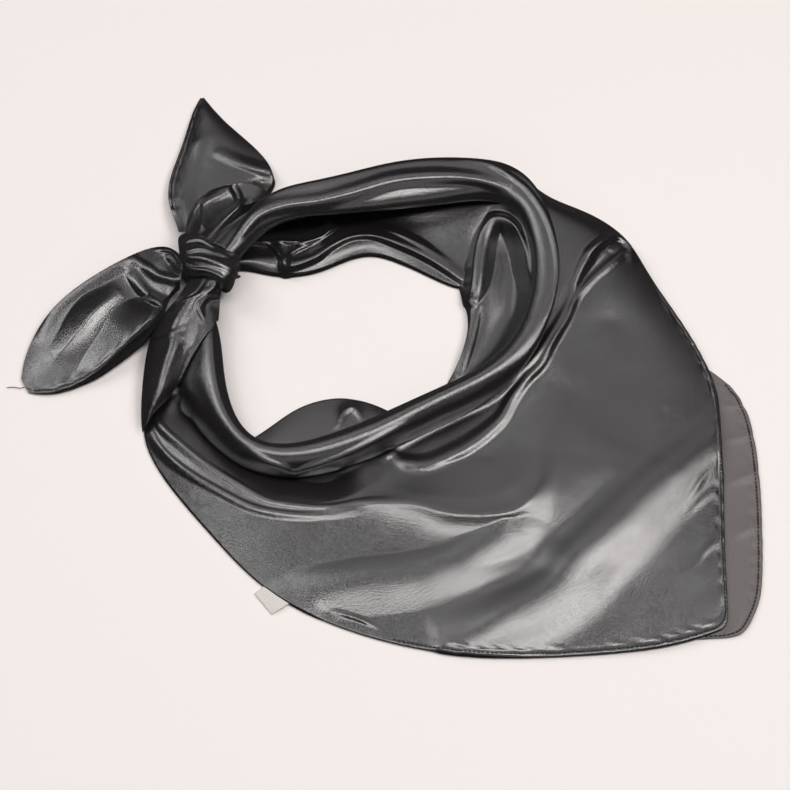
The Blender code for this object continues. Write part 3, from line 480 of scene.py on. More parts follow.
BACK_WALL_FOLDS = [
    Fold("line down from the knot", [(-107, 116), (-96, 119), (-84, 117), (-78, 109), (-75, 97)],
         [1.5, 3, 4, 4, 2], 7, 4.5, 1, "SHEEN"),
    Fold("leaf-shaped fold, upper line", [(-90, 119), (-84, 121), (-67, 119), (-50, 124), (-41, 131),
          (-37, 138)], [0.5, 2, 3.5, 3.5, 3, 1], 7, 5, 1, "SHEEN"),
    Fold("leaf-shaped fold, inner line", [(-71, 101), (-69, 109), (-60, 116), (-47, 122), (-39, 130)],
         [2, 3, 3, 2.5, 1], 5, 5, 1, "SHEEN"),
    Fold("line along the opening", [(-72, 98), (-66, 99), (-52, 106), (-41, 116), (-29, 123), (-16, 124),
          (3, 116), (23, 104), (43, 88)], [1.5, 3, 4, 4, 4, 4, 3.5, 3, 2], 9, 6, 1, "SHEEN"),
    Fold("second line along the opening", [(-20, 133), (-4, 129), (14, 119), (34, 104)], [0.5, 2, 2, 0.5],
         5, 4, 1, "SHEEN"),
]

RIGHT_WALL_STATIONS = [
    Station((82.8, 156.6), (66, 152), (26, 24, 22, 20, 18), 8),
    Station((89.8, 142.4), (58, 138), (26, 17, 13, 13, 11), 6),
    Station((93.7, 122), (51, 121), (25, 6, 8, 11, 6), 1.1),
    Station((94.7, 104), (46, 106), (24, 4, 8, 12, 5), 1.1),
    Station((93.7, 88), (43, 91), (23, 4, 8, 12, 4), 1.1),
    Station((91.7, 74), (44, 75), (22, 4, 8, 11, 4), 1.1),
    Station((88.6, 62), (50, 62), (22, 5, 6, 9, 4), 1.1),
    Station((84.6, 50), (48, 47), (21, 9, 5, 7, 4), 1.1),
    Station((76.6, 35.4), (43, 31), (20, 9, 5, 7, 4), 1.1),
    Station((64.6, 23.4), (38, 17), (18, 9, 5, 6, 3), 1.1),
    Station((50.6, 12.2), (33, 6), (15, 9, 6, 5, 3), 1.1),
]

RIGHT_WALL_FOLDS = [
    Fold("pleat", [(51, 72), (54, 80), (56, 92), (57, 105), (59, 119), (63, 130), (69, 137), (75, 134),
          (79, 125), (82, 112), (83, 98), (84, 86)], [3, 5, 6, 6.5, 7, 7, 7, 7, 6, 5, 3.5, 1], 6,
         [4, 6, 8, 9, 9, 8, 7, 7, 7, 7, 6, 5], 4, "BROW"),
    Fold("edge of the wall", [(40, 16), (45, 31), (49, 46), (51, 58), (52, 68)], [2, 3.5, 3.5, 3.5, 2], 4,
         5, 2, "BROW"),
]

FLAP_STATIONS = [
    Station((-86, -45), (-92, -35), (5, 4, 4, 3, 2), 1.2),
    Station((-73, -48), (-79, -25), (5, 5, 5, 4, 2), 1.2),
    Station((-59, -46), (-65, -12), (6, 6, 5, 4, 2), 1.2),
    Station((-45, -40), (-50, -5), (6, 6, 5, 4, 2), 1.2),
    Station((-31, -34), (-33, -2), (6, 6, 5, 4, 2), 1.2),
    Station((-16, -27), (-16, -6), (6, 6, 5, 4, 2), 1.2),
    Station((-5, -20), (-2, -14), (5, 5, 5, 4, 2), 1.2),
]

FLAP_FOLDS = [
    Fold("flap ridge", [(-35, -22), (-32, -12), (-27, -9), (-21, -17)], [1, 2.5, 2.5, 1], 2, 2, 1.5),
]

# The lower layer lies flat: its hidden edge and its hem
UNDER_EDGES = [
    ((164, 25), (200, 20)), ((164, 12), (213, 9)), ((164, -12), (224, -10)), ((164, -45), (227, -45)),
    ((164, -80), (226, -85)), ((164, -110), (223, -125)), ((161, -128), (220, -146)),
    ((158, -138), (213, -160)), ((152, -144), (207, -170)), ((142, -148), (190, -171)),
    ((128, -150), (168, -172)),
]
UNDER_STATIONS = [Station(hidden, hem, (LAID,) * 5, LAID) for hidden, hem in UNDER_EDGES]

UNDER_FOLDS = [
    Fold("crease of the lower layer, top", [(204, -6), (213, -8), (222, -7)], [0.2, 1.6, 1.7], 3, 3, 1),
    Fold("crease of the lower layer, upper", [(206, -34), (215, -32), (226, -30)], [0.2, 1.6, 2], 3, 3, 1),
    Fold("crease of the lower layer, middle", [(205, -66), (214, -62), (226, -57)], [0.2, 1.8, 2.2], 3, 3,
         1),
    Fold("crease of the lower layer, lower", [(206, -104), (214, -99), (224, -97)], [0.2, 1.6, 1.7], 4, 3,
         1),
]

# The strands inside the knot show only in its gaps, as one low mound
KNOT_MOUND_STATIONS = [
    Station((-144, 121), (-142, 97), (2, 13, 16, 11, 2), 1.1),
    Station((-136, 130), (-136, 86), (3, 20, 23, 16, 3), 1.1),
    Station((-124, 131), (-124, 84), (3, 23, 25, 17, 3), 1.1),
    Station((-112, 128), (-112, 86), (3, 20, 23, 16, 3), 1.1),
    Station((-104, 118), (-105, 96), (2, 13, 16, 11, 2), 1.1),
]

KNOT_BAND_STATIONS = [
    Station((-145, 120), (-143, 106), (6, 11, 13, 11, 7), 5),
    Station((-145.5, 125), (-142, 100), (14, 21, 23, 21, 15), 9),
    Station((-141, 128.5), (-139, 96), (21, 26, 28, 26, 22), 14),
    Station((-133, 129.5), (-132, 94.5), (24, 29, 31, 30, 26), 17),
    Station((-125, 123), (-126, 94), (26, 31, 32.5, 31.5, 28), 19),
    Station((-118, 116), (-119, 92), (26, 31, 32.5, 31.5, 28), 19),
    Station((-110, 113), (-112, 85), (24, 29, 30.5, 29.5, 26), 17),
    Station((-104, 112.5), (-107, 88), (17, 24, 27, 25, 19), 12),
    Station((-102, 110), (-103, 99), (10, 16, 18, 16, 11), 7),
]

KNOT_BAND_FOLDS = [
    Fold("crease under the upper edge", [(-144, 117), (-138, 121), (-131, 122), (-124, 118), (-117, 112),
          (-109, 110)], [0.6, 1.5, 1.6, 1.6, 1.4, 0.6], 3, 3, 1, "SHEEN"),
    Fold("middle crease", [(-138, 112), (-130, 114), (-122, 112), (-114, 109), (-105, 107)],
         [0.5, 1.2, 1.6, 2, 1], 2.5, 3.5, 1, "SHEEN"),
    Fold("fine crease", [(-124, 116), (-116, 112), (-106, 110)], [-0.4, -1, -0.6], 1, 1, 0.7),
    Fold("lower crease", [(-139, 105), (-131, 106), (-124, 104), (-116, 101), (-108, 97)],
         [0.4, 1, 1.4, 1.4, 0.6], 3.5, 5, 1, "SHEEN"),
    Fold("lip", [(-140, 100), (-134, 97.5), (-126, 96.5), (-119, 93.5), (-112, 88)],
         [1, 1.6, 1.6, 1.4, 0.2], 3, 1.5, 1, "BROW"),
    Fold("left side of the knot", [(-140, 125), (-143, 118), (-142, 108)], [-1, -2, -1], 2, 2, 1),
]

TAIL_TOP_STATIONS = [
    Station((-145, 129), (-122, 130), (9, 13, 14, 13, 9), 4),
    Station((-149, 141), (-106, 145), (8.5, 12, 13, 12, 9), 1),
    Station((-154, 155), (-89, 159), (6.5, 10.5, 12, 12, 8), 1.0),
    Station((-154, 172), (-81, 172), (5.5, 9.5, 12, 12, 8), 1.0),
    Station((-150, 188), (-86, 188), (4.5, 9, 11.5, 11, 7), 1.0),
    Station((-146, 204), (-100, 205), (4, 8, 10.5, 10, 5), 1.0),
    Station((-143, 220), (-116, 221), (3, 6.5, 8.5, 8, 4), 1.0),
    Station((-140, 234), (-128, 236), (1.8, 5, 6.5, 5.5, 3), 1.0),
    Station((-136, 244.5), (-134.6, 244.5), (1.7, 2, 2.2, 2, 1.8), 1.7),
]

TAIL_TOP_FOLDS = [
    Fold("swell by the hem", [(-136, 234), (-139, 216), (-142, 199), (-146, 181), (-148, 164), (-146, 148),
          (-143, 132)], [0.6, 1, 1.2, 1.2, 1.3, 1.4, 1], 9, 9, 1, "SHEEN"),
    Fold("patch by the tip", [(-136, 206), (-128, 210)], [1.2, 0.8], 5, 6, 3),
    Fold("swell by the fold edge", [(-122, 193), (-110, 186), (-99, 181), (-87, 177)], [1, 2, 3.2, 2.5], 8,
         7, 1, "SHEEN"),
    Fold("pocket by the fold edge", [(-97, 171), (-90, 170), (-85, 169)], [-1, -3, -2], 3, 3, 2),
]

PETAL_STATIONS = [
    Station((-140, 122), (-141, 133), (20, 20, 20, 20, 19), 13),
    Station((-137, 123), (-138, 147), (22, 20, 17, 16, 20), 12),
    Station((-132, 124), (-133, 158), (24, 21, 16, 14, 21), 12),
    Station((-126, 123), (-122, 167), (25, 21, 16, 13, 22), 12),
    Station((-121, 120), (-110, 170), (25, 23, 20, 17, 22), 12),
    Station((-116, 117), (-99, 171), (24, 23, 22, 21, 21), 12),
    Station((-112, 115), (-89, 166), (22, 21, 21, 21, 19), 12),
    Station((-109, 114), (-84, 160), (18, 17, 17, 17, 14), 9),
]

PETAL_FOLDS = [
    Fold("rim", [(-140, 130), (-138, 144), (-134, 154), (-128, 160), (-120, 166), (-111, 168)],
         [0.4, 1, 1.2, 1.2, 1.2, 0.6], 2, 4, 1, "SHEEN"),
    Fold("ridge over the hollow", [(-112, 167), (-109, 160), (-108, 152), (-113, 143)], [1, 2.6, 2.8, 1], 4,
         5, 1, "SHEEN"),
    Fold("small loop in the hollow, left", [(-133, 151), (-134, 143), (-131, 135)], [0.8, 2, 1.5], 2.5, 3,
         1, "SHEEN"),
    Fold("small loop in the hollow, right", [(-129, 133), (-128, 140), (-130, 147)], [1, 1.8, 0.8], 2.5, 3,
         1, "SHEEN"),
    Fold("ridge to the knot", [(-123, 122), (-115, 135), (-105, 147), (-97, 152)], [1.5, 3, 3, 1], 6, 5, 1,
         "SHEEN"),
    Fold("valley by the roll", [(-121, 119), (-108, 136), (-97, 147), (-89, 152)], [-2, -4, -4, -2], 3, 4,
         2),
]

TAIL_LEFT_STATIONS = [
    Station((-141, 108), (-142, 88), (17, 23, 24, 22, 18), 12),
    Station((-151, 119), (-150, 77), (16, 21, 19, 17, 13), 9),
    Station((-168, 115), (-158, 55), (13, 15, 12.5, 11.5, 9), 6),
    Station((-190, 101), (-170, 42), (11, 13, 10.5, 10, 8), 4),
    Station((-211, 84), (-182, 27), (8.5, 10.5, 9, 8.5, 7), 2.5),
    Station((-226, 66), (-196, 13), (6, 8, 7.5, 7, 5.5), 1.8),
    Station((-235, 46), (-212, 4), (4, 6, 6.5, 5.5, 4), 1.8),
    Station((-240, 26), (-226, 1), (2, 3.5, 4, 3.5, 2), 1.8),
    Station((-240, 12), (-235, 3), (1.8, 2, 2, 2, 1.8), 1.8),
]

TAIL_LEFT_FOLDS = [
    Fold("top ridge", [(-228, 44), (-224, 54), (-218, 67), (-209, 77), (-196, 88), (-182, 99), (-173, 104)],
         [0.6, 1.4, 2, 2.4, 2.8, 3, 2.4], 5, [7, 9, 11, 12, 13, 13, 11], 1, "SHEEN"),
    Fold("middle ridge", [(-219, 29), (-211, 41), (-203, 54), (-195, 67), (-183, 79)], [0.6, 3, 5.5, 6, 3],
         [7, 10, 13, 14, 10], [8, 10, 12, 12, 9], 1, "RAMP"),
    Fold("lower ridge", [(-199, 12), (-188, 26), (-177, 38), (-168, 49), (-160, 59), (-153, 67)],
         [0.5, 4.5, 8, 11, 11, 7], [8, 13, 18, 22, 21, 14], [5, 6, 7, 8, 8, 6], 1, "RAMP"),
    Fold("edge of the turned-over part", [(-177, 98), (-171, 87), (-164, 78), (-157, 73), (-149, 71)],
         [1, 2.5, 3.5, 3.5, 2], 6, 4, 1.2, "BROW"),
    Fold("line of the turned-over part", [(-175, 103), (-166, 97), (-159, 91), (-150, 88), (-141, 86)],
         [1, 2, 2.2, 2.2, 1.5], 5, 7, 1, "SHEEN"),
    Fold("curl by the knot", [(-156, 113), (-150, 112), (-145, 106), (-142, 99)], [1, 2.5, 2.5, 1.5], 3, 3,
         1, "SHEEN"),
    Fold("hollow of the curl", [(-154, 108), (-150, 102), (-146, 95)], [-2, -4, -2], 3, 3, 1.5),
]

# The care label's corners as sighted: the two at the hem, then the two outer ones
LABEL_CORNERS = ((-76.0, -133.5), (-61.5, -146.5), (-85.0, -141.5), (-74.3, -155.7))

# Where the hem and its stitches start and end along each panel, as shares of its columns. The top tail's
# hem is on its left edge, so that panel is turned round for it
FRONT_HEM = (0.36, 0.735)
UNDER_HEM, UNDER_SEAM = (0.08, 1.0), (0.1, 0.98)
TAIL_LEFT_HEM, TAIL_LEFT_SEAM = (0.12, 1.0), (0.14, 0.97)
TAIL_TOP_HEM, TAIL_TOP_SEAM = (0.14, 0.97), (0.18, 0.96)

# The loose end of the sewing thread at the left tail's tip
THREAD_WIDE = 0.45
THREAD_END = ((-236, 5.5, 1.4), (-240, 4.5, 1.2), (-244, 5.4, 0.9), (-249, 5.0, 0.8))


# ---------------------------------------------------------------- finishes

def hex_colour(code):
    """An sRGB hex colour as linear red, green, blue and alpha."""
    parts = [int(code[i:i + 2], 16) / 255 for i in (1, 3, 5)]
    return (*(p / 12.92 if p <= 0.04045 else ((p + 0.055) / 1.055) ** 2.4 for p in parts), 1)


def add(tree, kind, inputs=None, **settings):
    """Adds a node with its settings, and sets or links its inputs. Returns the node."""
    made = tree.nodes.new(kind)
    for key, value in settings.items():
        setattr(made, key, value)
    for socket, value in (inputs or {}).items():
        if isinstance(value, bpy.types.NodeSocket):
            tree.links.new(value, made.inputs[socket])
        else:
            made.inputs[socket].default_value = value
    return made


def new_finish(name):
    """A material with nodes: the material, its tree and its shader."""
    made = bpy.data.materials.new(name)
    made.use_nodes = True
    return made, made.node_tree, made.node_tree.nodes["Principled BSDF"]


def satin_weave():
    """Dark grey polyester satin, right side: long warp floats that shine along every fold."""
    made, tree, shader = new_finish("polyester satin, right side")
    shader.inputs["Specular IOR Level"].default_value = 1.0
    shader.inputs["IOR"].default_value = 1.75
    shader.inputs["Anisotropic"].default_value = 0.2
    shader.inputs["Sheen Weight"].default_value = 0.04
    shader.inputs["Sheen Roughness"].default_value = 0.5
    uv = add(tree, "ShaderNodeUVMap", uv_map="cloth")
    # Threads are 0.1 mm; their bundles are drawn at 0.6 x 1.3 mm so that the grain shows
    floats = add(tree, "ShaderNodeMapping", {"Vector": uv.outputs["UV"], "Scale": (1 / 0.6, 1 / 1.3, 1)})
    grain = add(tree, "ShaderNodeTexNoise",
                {"Vector": floats.outputs["Vector"], "Scale": 1.0, "Detail": 2.0, "Roughness": 0.6},
                noise_dimensions="2D")
    # Soft unevenness of the cloth, about 30 mm wide
    cloud = add(tree, "ShaderNodeTexNoise",
                {"Vector": uv.outputs["UV"], "Scale": 1 / 30, "Detail": 2.0}, noise_dimensions="2D")
    shade = add(tree, "ShaderNodeMix",
                {"Factor": grain.outputs["Fac"], "A": hex_colour("#110F10"), "B": hex_colour("#1C1A1B")},
                data_type="RGBA")
    tree.links.new(shade.outputs[2], shader.inputs["Base Color"])
    rough = add(tree, "ShaderNodeMapRange",
                {"Value": cloud.outputs["Fac"], "To Min": 0.21, "To Max": 0.26})
    tree.links.new(rough.outputs["Result"], shader.inputs["Roughness"])
    bump = add(tree, "ShaderNodeBump",
               {"Height": grain.outputs["Fac"], "Strength": 1.0, "Distance": 0.00016})
    tree.links.new(bump.outputs["Normal"], shader.inputs["Normal"])
    tangent = add(tree, "ShaderNodeTangent", direction_type="UV_MAP", uv_map="cloth")
    tree.links.new(tangent.outputs["Tangent"], shader.inputs["Tangent"])
    return made


def wrong_side_weave():
    """The matte back of the same satin, where the short weft stitches show."""
    made, tree, shader = new_finish("polyester satin, wrong side")
    shader.inputs["Sheen Weight"].default_value = 0.1
    uv = add(tree, "ShaderNodeUVMap", uv_map="cloth")
    grain = add(tree, "ShaderNodeTexNoise",
                {"Vector": uv.outputs["UV"], "Scale": 1 / 1.1, "Detail": 3.0}, noise_dimensions="2D")
    shade = add(tree, "ShaderNodeMix",
                {"Factor": grain.outputs["Fac"], "A": hex_colour("#635D5D"), "B": hex_colour("#75706F")},
                data_type="RGBA")
    tree.links.new(shade.outputs[2], shader.inputs["Base Color"])
    shader.inputs["Roughness"].default_value = 0.45
    bump = add(tree, "ShaderNodeBump",
               {"Height": grain.outputs["Fac"], "Strength": 1.0, "Distance": 0.00005})
    tree.links.new(bump.outputs["Normal"], shader.inputs["Normal"])
    return made


def plain_finish(name, colour, roughness):
    """A matte finish for the thread and the table, with 1.5 grains of its colour to the millimetre."""
    made, tree, shader = new_finish(name)
    where = add(tree, "ShaderNodeTexCoord")
    grain = add(tree, "ShaderNodeTexNoise",
                {"Vector": where.outputs["Object"], "Scale": 1.5 / MM, "Detail": 1.0})
    light = tuple(c * 1.06 for c in hex_colour(colour)[:3]) + (1,)
    shade = add(tree, "ShaderNodeMix",
                {"Factor": grain.outputs["Fac"], "A": hex_colour(colour), "B": light}, data_type="RGBA")
    tree.links.new(shade.outputs[2], shader.inputs["Base Color"])
    shader.inputs["Roughness"].default_value = roughness
    return made


def tape_weave():
    """White woven label tape: fine ribs across it and a soft grain."""
    made, tree, shader = new_finish("woven label tape")
    shader.inputs["Roughness"].default_value = 0.75
    uv = add(tree, "ShaderNodeUVMap", uv_map="cloth")
    # The ribs are drawn 1.6 mm apart, coarser than real ones, so that they show
    ribs = add(tree, "ShaderNodeTexWave",
               {"Vector": uv.outputs["UV"], "Scale": 0.2, "Distortion": 0.8, "Detail": 1.0})
    grain = add(tree, "ShaderNodeTexNoise",
                {"Vector": uv.outputs["UV"], "Scale": 1.6, "Detail": 2.0}, noise_dimensions="2D")
    weave = add(tree, "ShaderNodeMath",
                {0: ribs.outputs["Fac"], 1: grain.outputs["Fac"]}, operation="MULTIPLY")
    shade = add(tree, "ShaderNodeMix",
                {"Factor": weave.outputs["Value"], "A": hex_colour("#D9D5D1"), "B": hex_colour("#FAF7F4")},
                data_type="RGBA")
    tree.links.new(shade.outputs[2], shader.inputs["Base Color"])
    bump = add(tree, "ShaderNodeBump",
               {"Height": weave.outputs["Value"], "Strength": 1.0, "Distance": 0.0002})
    tree.links.new(bump.outputs["Normal"], shader.inputs["Normal"])
    return made


SATIN = satin_weave()
WRONG_SIDE = wrong_side_weave()
HEM_THREAD = plain_finish("polyester sewing thread", "#1B191A", 0.5)
LABEL_TAPE = tape_weave()


# ---------------------------------------------------------------- making cloth

def grid_mesh(name, points, finish, plan_uv=False):
    """A piece of cloth through a grid of points in millimetres, with its thread lengths as UV."""
    columns, rows = points.shape[:2]
    bm = bmesh.new()
    bmesh.ops.create_grid(bm, x_segments=columns - 1, y_segments=rows - 1, size=1)
    mesh = bpy.data.meshes.new(name)
    bm.to_mesh(mesh)
    bm.free()
    flat = np.empty(len(mesh.vertices) * 3)
    mesh.vertices.foreach_get("co", flat)
    flat = flat.reshape(-1, 3)
    column = np.rint((flat[:, 0] + 1) / 2 * (columns - 1)).astype(int)
    row = np.rint((flat[:, 1] + 1) / 2 * (rows - 1)).astype(int)
    place = (points - (*MIDDLE, 0)) * MM
    mesh.vertices.foreach_set("co", place[column, row].ravel())
    along = np.linalg.norm(np.diff(points, axis=0), axis=2).mean(axis=1)
    across = np.linalg.norm(np.diff(points, axis=1), axis=2).mean(axis=0)
    u, v = np.concatenate([[0], np.cumsum(along)]), np.concatenate([[0], np.cumsum(across)])
    thread = points[column, row, :2] if plan_uv else np.column_stack([u[column], v[row]])
    corner = np.empty(len(mesh.loops), int)
    mesh.loops.foreach_get("vertex_index", corner)
    layer = mesh.uv_layers.new(name="cloth")
    layer.data.foreach_set("uv", thread[corner].ravel())
    mesh.update()
    normals = np.empty(len(mesh.polygons) * 3)
    mesh.polygons.foreach_get("normal", normals)
    if normals.reshape(-1, 3)[:, 2].sum() < 0:
        mesh.flip_normals()
    mesh.shade_smooth()
    mesh.materials.append(finish)
    piece = bpy.data.objects.new(name, mesh)
    bpy.context.scene.collection.objects.link(piece)
    return piece


def shell(name, points, finish, thick=CLOTH, plan_uv=False):
    """The same with a thickness below the points."""
    piece = grid_mesh(name, points, finish, plan_uv)
    wall = piece.modifiers.new("cloth", "SOLIDIFY")
    wall.thickness = thick * MM
    wall.offset = -1
    wall.use_even_offset = False
    return piece


def tucked(points, inward=5.0, floor=0.45):
    """Adds rows beyond the foot that turn back under the cloth, so that the edge is a folded one."""
    foot, last = points[:, -1], points[:, -2]
    back = points[:, -6] - last
    back[:, 2] = 0
    back /= np.maximum(np.linalg.norm(back, axis=1, keepdims=True), 1e-6)
    rows = [points]
    for share, drop in ((0.0, 0.5), (0.3, 1.0), (1.0, 1.0)):
        row = foot + inward * share * back
        row[:, 2] = foot[:, 2] - drop * (foot[:, 2] - floor)
        rows.append(row[:, None])
    return np.concatenate(rows, axis=1)


def from_edge(points):
    """How far each point of a panel lies from its outer edge, along its row (the foot counts as the edge)."""
    steps = np.linalg.norm(np.diff(points[:, :-1], axis=1), axis=2)
    run = np.concatenate([np.cumsum(steps[:, ::-1], axis=1)[:, ::-1], np.zeros((len(points), 2))], axis=1)
    return run


def hemmed(points, first, last, pucker=0.8):
    """Raises a narrow turned hem along the outer edge, gathered a little by its stitches."""
    away = from_edge(points)
    along = np.concatenate([[0], np.cumsum(np.linalg.norm(np.diff(points[:, -2], axis=0), axis=1))])
    # Where along the edge there is a hem, its roll, the dip of its seam, and the waves that gather it
    share = np.linspace(0, 1, len(points))
    there = (np.clip((share - first) * 40, 0, 1) * np.clip((last - share) * 40, 0, 1))[:, None]
    band = 1 / (1 + np.exp(np.clip((away - HEM) / 0.35, -30, 30)))
    seam = np.exp(-((away - HEM - 0.3) / 0.8) ** 2)
    waves = np.sin(along / 1.6 + 2.2 * np.sin(along / 13)) * (0.5 + 0.5 * np.sin(along / 19 + 1))
    slant = np.sin((along[:, None] + 1.4 * away) / 2.3 + 1.7 * np.sin(along / 9)[:, None])
    pulled = np.exp(-((away - HEM - 1.0) / 2.6) ** 2) * (0.6 * waves[:, None] + 0.4 * slant)
    lifted = points.copy()
    lifted[..., 2] += there * ((HEM_RISE * band - 0.25 * seam) * (1 + 0.9 * waves[:, None]) + pucker * pulled)
    return lifted


def hem_line(points, seam):
    """The line along the middle of a panel's hem that its stitches follow, evenly sampled."""
    away = from_edge(points)
    line = np.array([[np.interp(-HEM / 2, -away[i, :-1], points[i, :-1, axis]) for axis in range(3)]
                     for i in range(int(seam[0] * len(points)), int(seam[1] * len(points)))])
    length = np.concatenate([[0], np.cumsum(np.linalg.norm(np.diff(line, axis=0), axis=1))])
    places = np.arange(0, length[-1], STITCH_PITCH)
    return np.stack([np.interp(places, length, line[:, axis]) for axis in range(3)], axis=1)


def stitches(name, lines):
    """Machine stitches along hem lines, each a short rounded length of thread, joined as one piece."""
    bm = bmesh.new()
    for line in lines:
        for here, there in zip(line[:-1], line[1:]):
            run = Vector(there - here).normalized()
            made = bmesh.ops.create_cube(bm, size=1)["verts"]
            ends = [edge for vert in made for edge in vert.link_edges
                    if abs((edge.verts[0].co - edge.verts[1].co).x) > 0.5]
            bmesh.ops.scale(bm, vec=(STITCH_LONG, STITCH_WIDE, STITCH_WIDE * 0.7), verts=made)
            cut = bmesh.ops.bevel(bm, geom=list(set(ends)), offset=STITCH_WIDE * 0.2, segments=1,
                                  affect="EDGES", profile=0.5, material=-1)
            whole = {vert for vert in made if vert.is_valid} | set(cut["verts"])
            turn = run.to_track_quat("X", "Z").to_matrix()
            bmesh.ops.rotate(bm, cent=(0, 0, 0), matrix=turn, verts=list(whole))
            bmesh.ops.translate(bm, vec=Vector((here + there) / 2) + Vector((0, 0, STITCH_WIDE * 0.2)),
                                verts=list(whole))
    bmesh.ops.translate(bm, vec=(-MIDDLE[0], -MIDDLE[1], 0), verts=bm.verts)
    bmesh.ops.scale(bm, vec=(MM, MM, MM), verts=bm.verts)
    bmesh.ops.recalc_face_normals(bm, faces=bm.faces)
    mesh = bpy.data.meshes.new(name)
    bm.to_mesh(mesh)
    bm.free()
    mesh.materials.append(HEM_THREAD)
    piece = bpy.data.objects.new(name, mesh)
    bpy.context.scene.collection.objects.link(piece)
    return piece


def thread_end(name, points, steps=24, sides=8):
    """A loose end of sewing thread along a short curve, round and closed at both ends."""
    line = smooth_line(points, steps)
    run = np.gradient(line, axis=0)
    run /= np.linalg.norm(run, axis=1, keepdims=True)
    side = np.cross(run, (0, 0, 1))
    up = np.cross(side, run)
    turn = np.linspace(0, 2 * np.pi, sides + 1)
    taper = np.clip(np.minimum(np.arange(steps), np.arange(steps)[::-1]) / 1.5, 0, 1)[:, None, None]
    circle = np.cos(turn)[None, :, None] * side[:, None] + np.sin(turn)[None, :, None] * up[:, None]
    piece = grid_mesh(name, line[:, None] + THREAD_WIDE / 2 * taper * circle, HEM_THREAD)
    bm = bmesh.new()
    bm.from_mesh(piece.data)
    bmesh.ops.remove_doubles(bm, verts=bm.verts, dist=THREAD_WIDE * MM / 100)
    bmesh.ops.recalc_face_normals(bm, faces=bm.faces)
    bm.to_mesh(piece.data)
    bm.free()
    return piece


# ---------------------------------------------------------------- the pieces

def care_label():
    """Points of the blank woven label: a short tape caught in the hem, with one corner that curls up."""
    inner_a, inner_b, outer_a, outer_b = (np.array(corner) for corner in LABEL_CORNERS)
    shares = np.linspace(0, 1, 36)
    rows = []
    for t in np.linspace(0, 1, 40):
        edge = inner_a + t * (inner_b - inner_a), outer_a + t * (outer_b - outer_a)
        flat = edge[0] + shares[:, None] * (edge[1] - edge[0])
        rise = 1.0 + 0.9 * np.sin(np.pi * shares) * (0.5 + t) + 0.7 * shares**3 * (1 - t)
        rows.append(np.column_stack([flat, rise]))
    return seen(np.array(rows))


front = hemmed(panel(FRONT_STATIONS, columns=460, rows=204, folds=FRONT_FOLDS), *FRONT_HEM)
under = hemmed(panel(UNDER_STATIONS, columns=220, rows=90, folds=UNDER_FOLDS), *UNDER_HEM)
flap = panel(FLAP_STATIONS, columns=120, rows=70, folds=FLAP_FOLDS)
back_wall = panel(BACK_WALL_STATIONS, columns=260, rows=120, folds=BACK_WALL_FOLDS)
right_wall = panel(RIGHT_WALL_STATIONS, columns=180, rows=110, folds=RIGHT_WALL_FOLDS)
label = care_label()
ring = folded(arch(RING, columns=560, rows=72), RING_FOLDS)
for lower in (front, flap, right_wall):
    ring = resting(ring, lower, SEAM_GAP)
arm_outer = panel(OUTER_STRAND_STATIONS, columns=150, rows=90, folds=OUTER_STRAND_FOLDS)
for lower in (front, ring):
    arm_outer = resting(arm_outer, lower, LAP_GAP)
tail_top = panel(TAIL_TOP_STATIONS, columns=180, rows=110, folds=TAIL_TOP_FOLDS)
tail_top = hemmed(tail_top[:, ::-1], *TAIL_TOP_HEM, pucker=0.35)[:, ::-1]
petal = resting(panel(PETAL_STATIONS, columns=120, rows=100, folds=PETAL_FOLDS), tail_top, LAP_GAP)
tail_left = panel(TAIL_LEFT_STATIONS, columns=220, rows=130, folds=TAIL_LEFT_FOLDS)
tail_left = hemmed(tail_left, *TAIL_LEFT_HEM, pucker=0.4)
knot_mound = panel(KNOT_MOUND_STATIONS, columns=60, rows=60)
knot_band = panel(KNOT_BAND_STATIONS, columns=110, rows=100, folds=KNOT_BAND_FOLDS)

# Each piece of cloth with the nodes it stands for and the size it was cut to, in metres
pieces = [
    (grid_mesh("front", tucked(front), SATIN, plan_uv=True), ["front_drape", "hidden_layers"], (0.36, 0.22)),
    (shell("under_layer", under, WRONG_SIDE, UNDER_CLOTH), ["under_drape"], (0.07, 0.18)),
    (shell("inner_flap_cloth", flap, SATIN), ["inner_flap"], (0.09, 0.03)),
    (shell("back_wall_cloth", back_wall, SATIN), ["back_wall", "hidden_layers_back"], (0.18, 0.055)),
    (shell("right_wall_cloth", right_wall, SATIN), ["right_wall"], (0.14, 0.06)),
    (grid_mesh("neck_roll", ring, SATIN), ["back_roll", "right_rim", "front_roll", "arm_inner"],
     (0.62, 0.06)),
    (shell("outer_strand", arm_outer, SATIN), ["arm_outer"], (0.11, 0.05)),
    (shell("tail_top_cloth", tail_top, SATIN), ["tail_top"], (0.12, 0.06)),
    (shell("petal_cloth", petal, SATIN), ["tail_petal"], (0.06, 0.05)),
    (shell("tail_left_cloth", tail_left, SATIN), ["tail_left"], (0.13, 0.065)),
    (grid_mesh("knot_inside", tucked(knot_mound), SATIN), ["knot_core"], (0.055, 0.05)),
    (shell("knot_band_cloth", knot_band, SATIN), ["knot_band"], (0.055, 0.05)),
]
hems = stitches("hem_stitches", [hem_line(front, FRONT_HEM), hem_line(under, UNDER_SEAM),
                                 hem_line(tail_left, TAIL_LEFT_SEAM),
                                 hem_line(tail_top[:, ::-1], TAIL_TOP_SEAM)])
loose = thread_end("thread_end", THREAD_END)
tape = shell("care_label_tape", label, LABEL_TAPE, LABEL_THICK)
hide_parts("care_label")
for piece in (hems, loose, tape):
    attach(piece, "root")
for piece, nodes, flat in pieces:
    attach(piece, "root")
    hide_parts(*nodes)


# ---------------------------------------------------------------- the table, the light and the eye

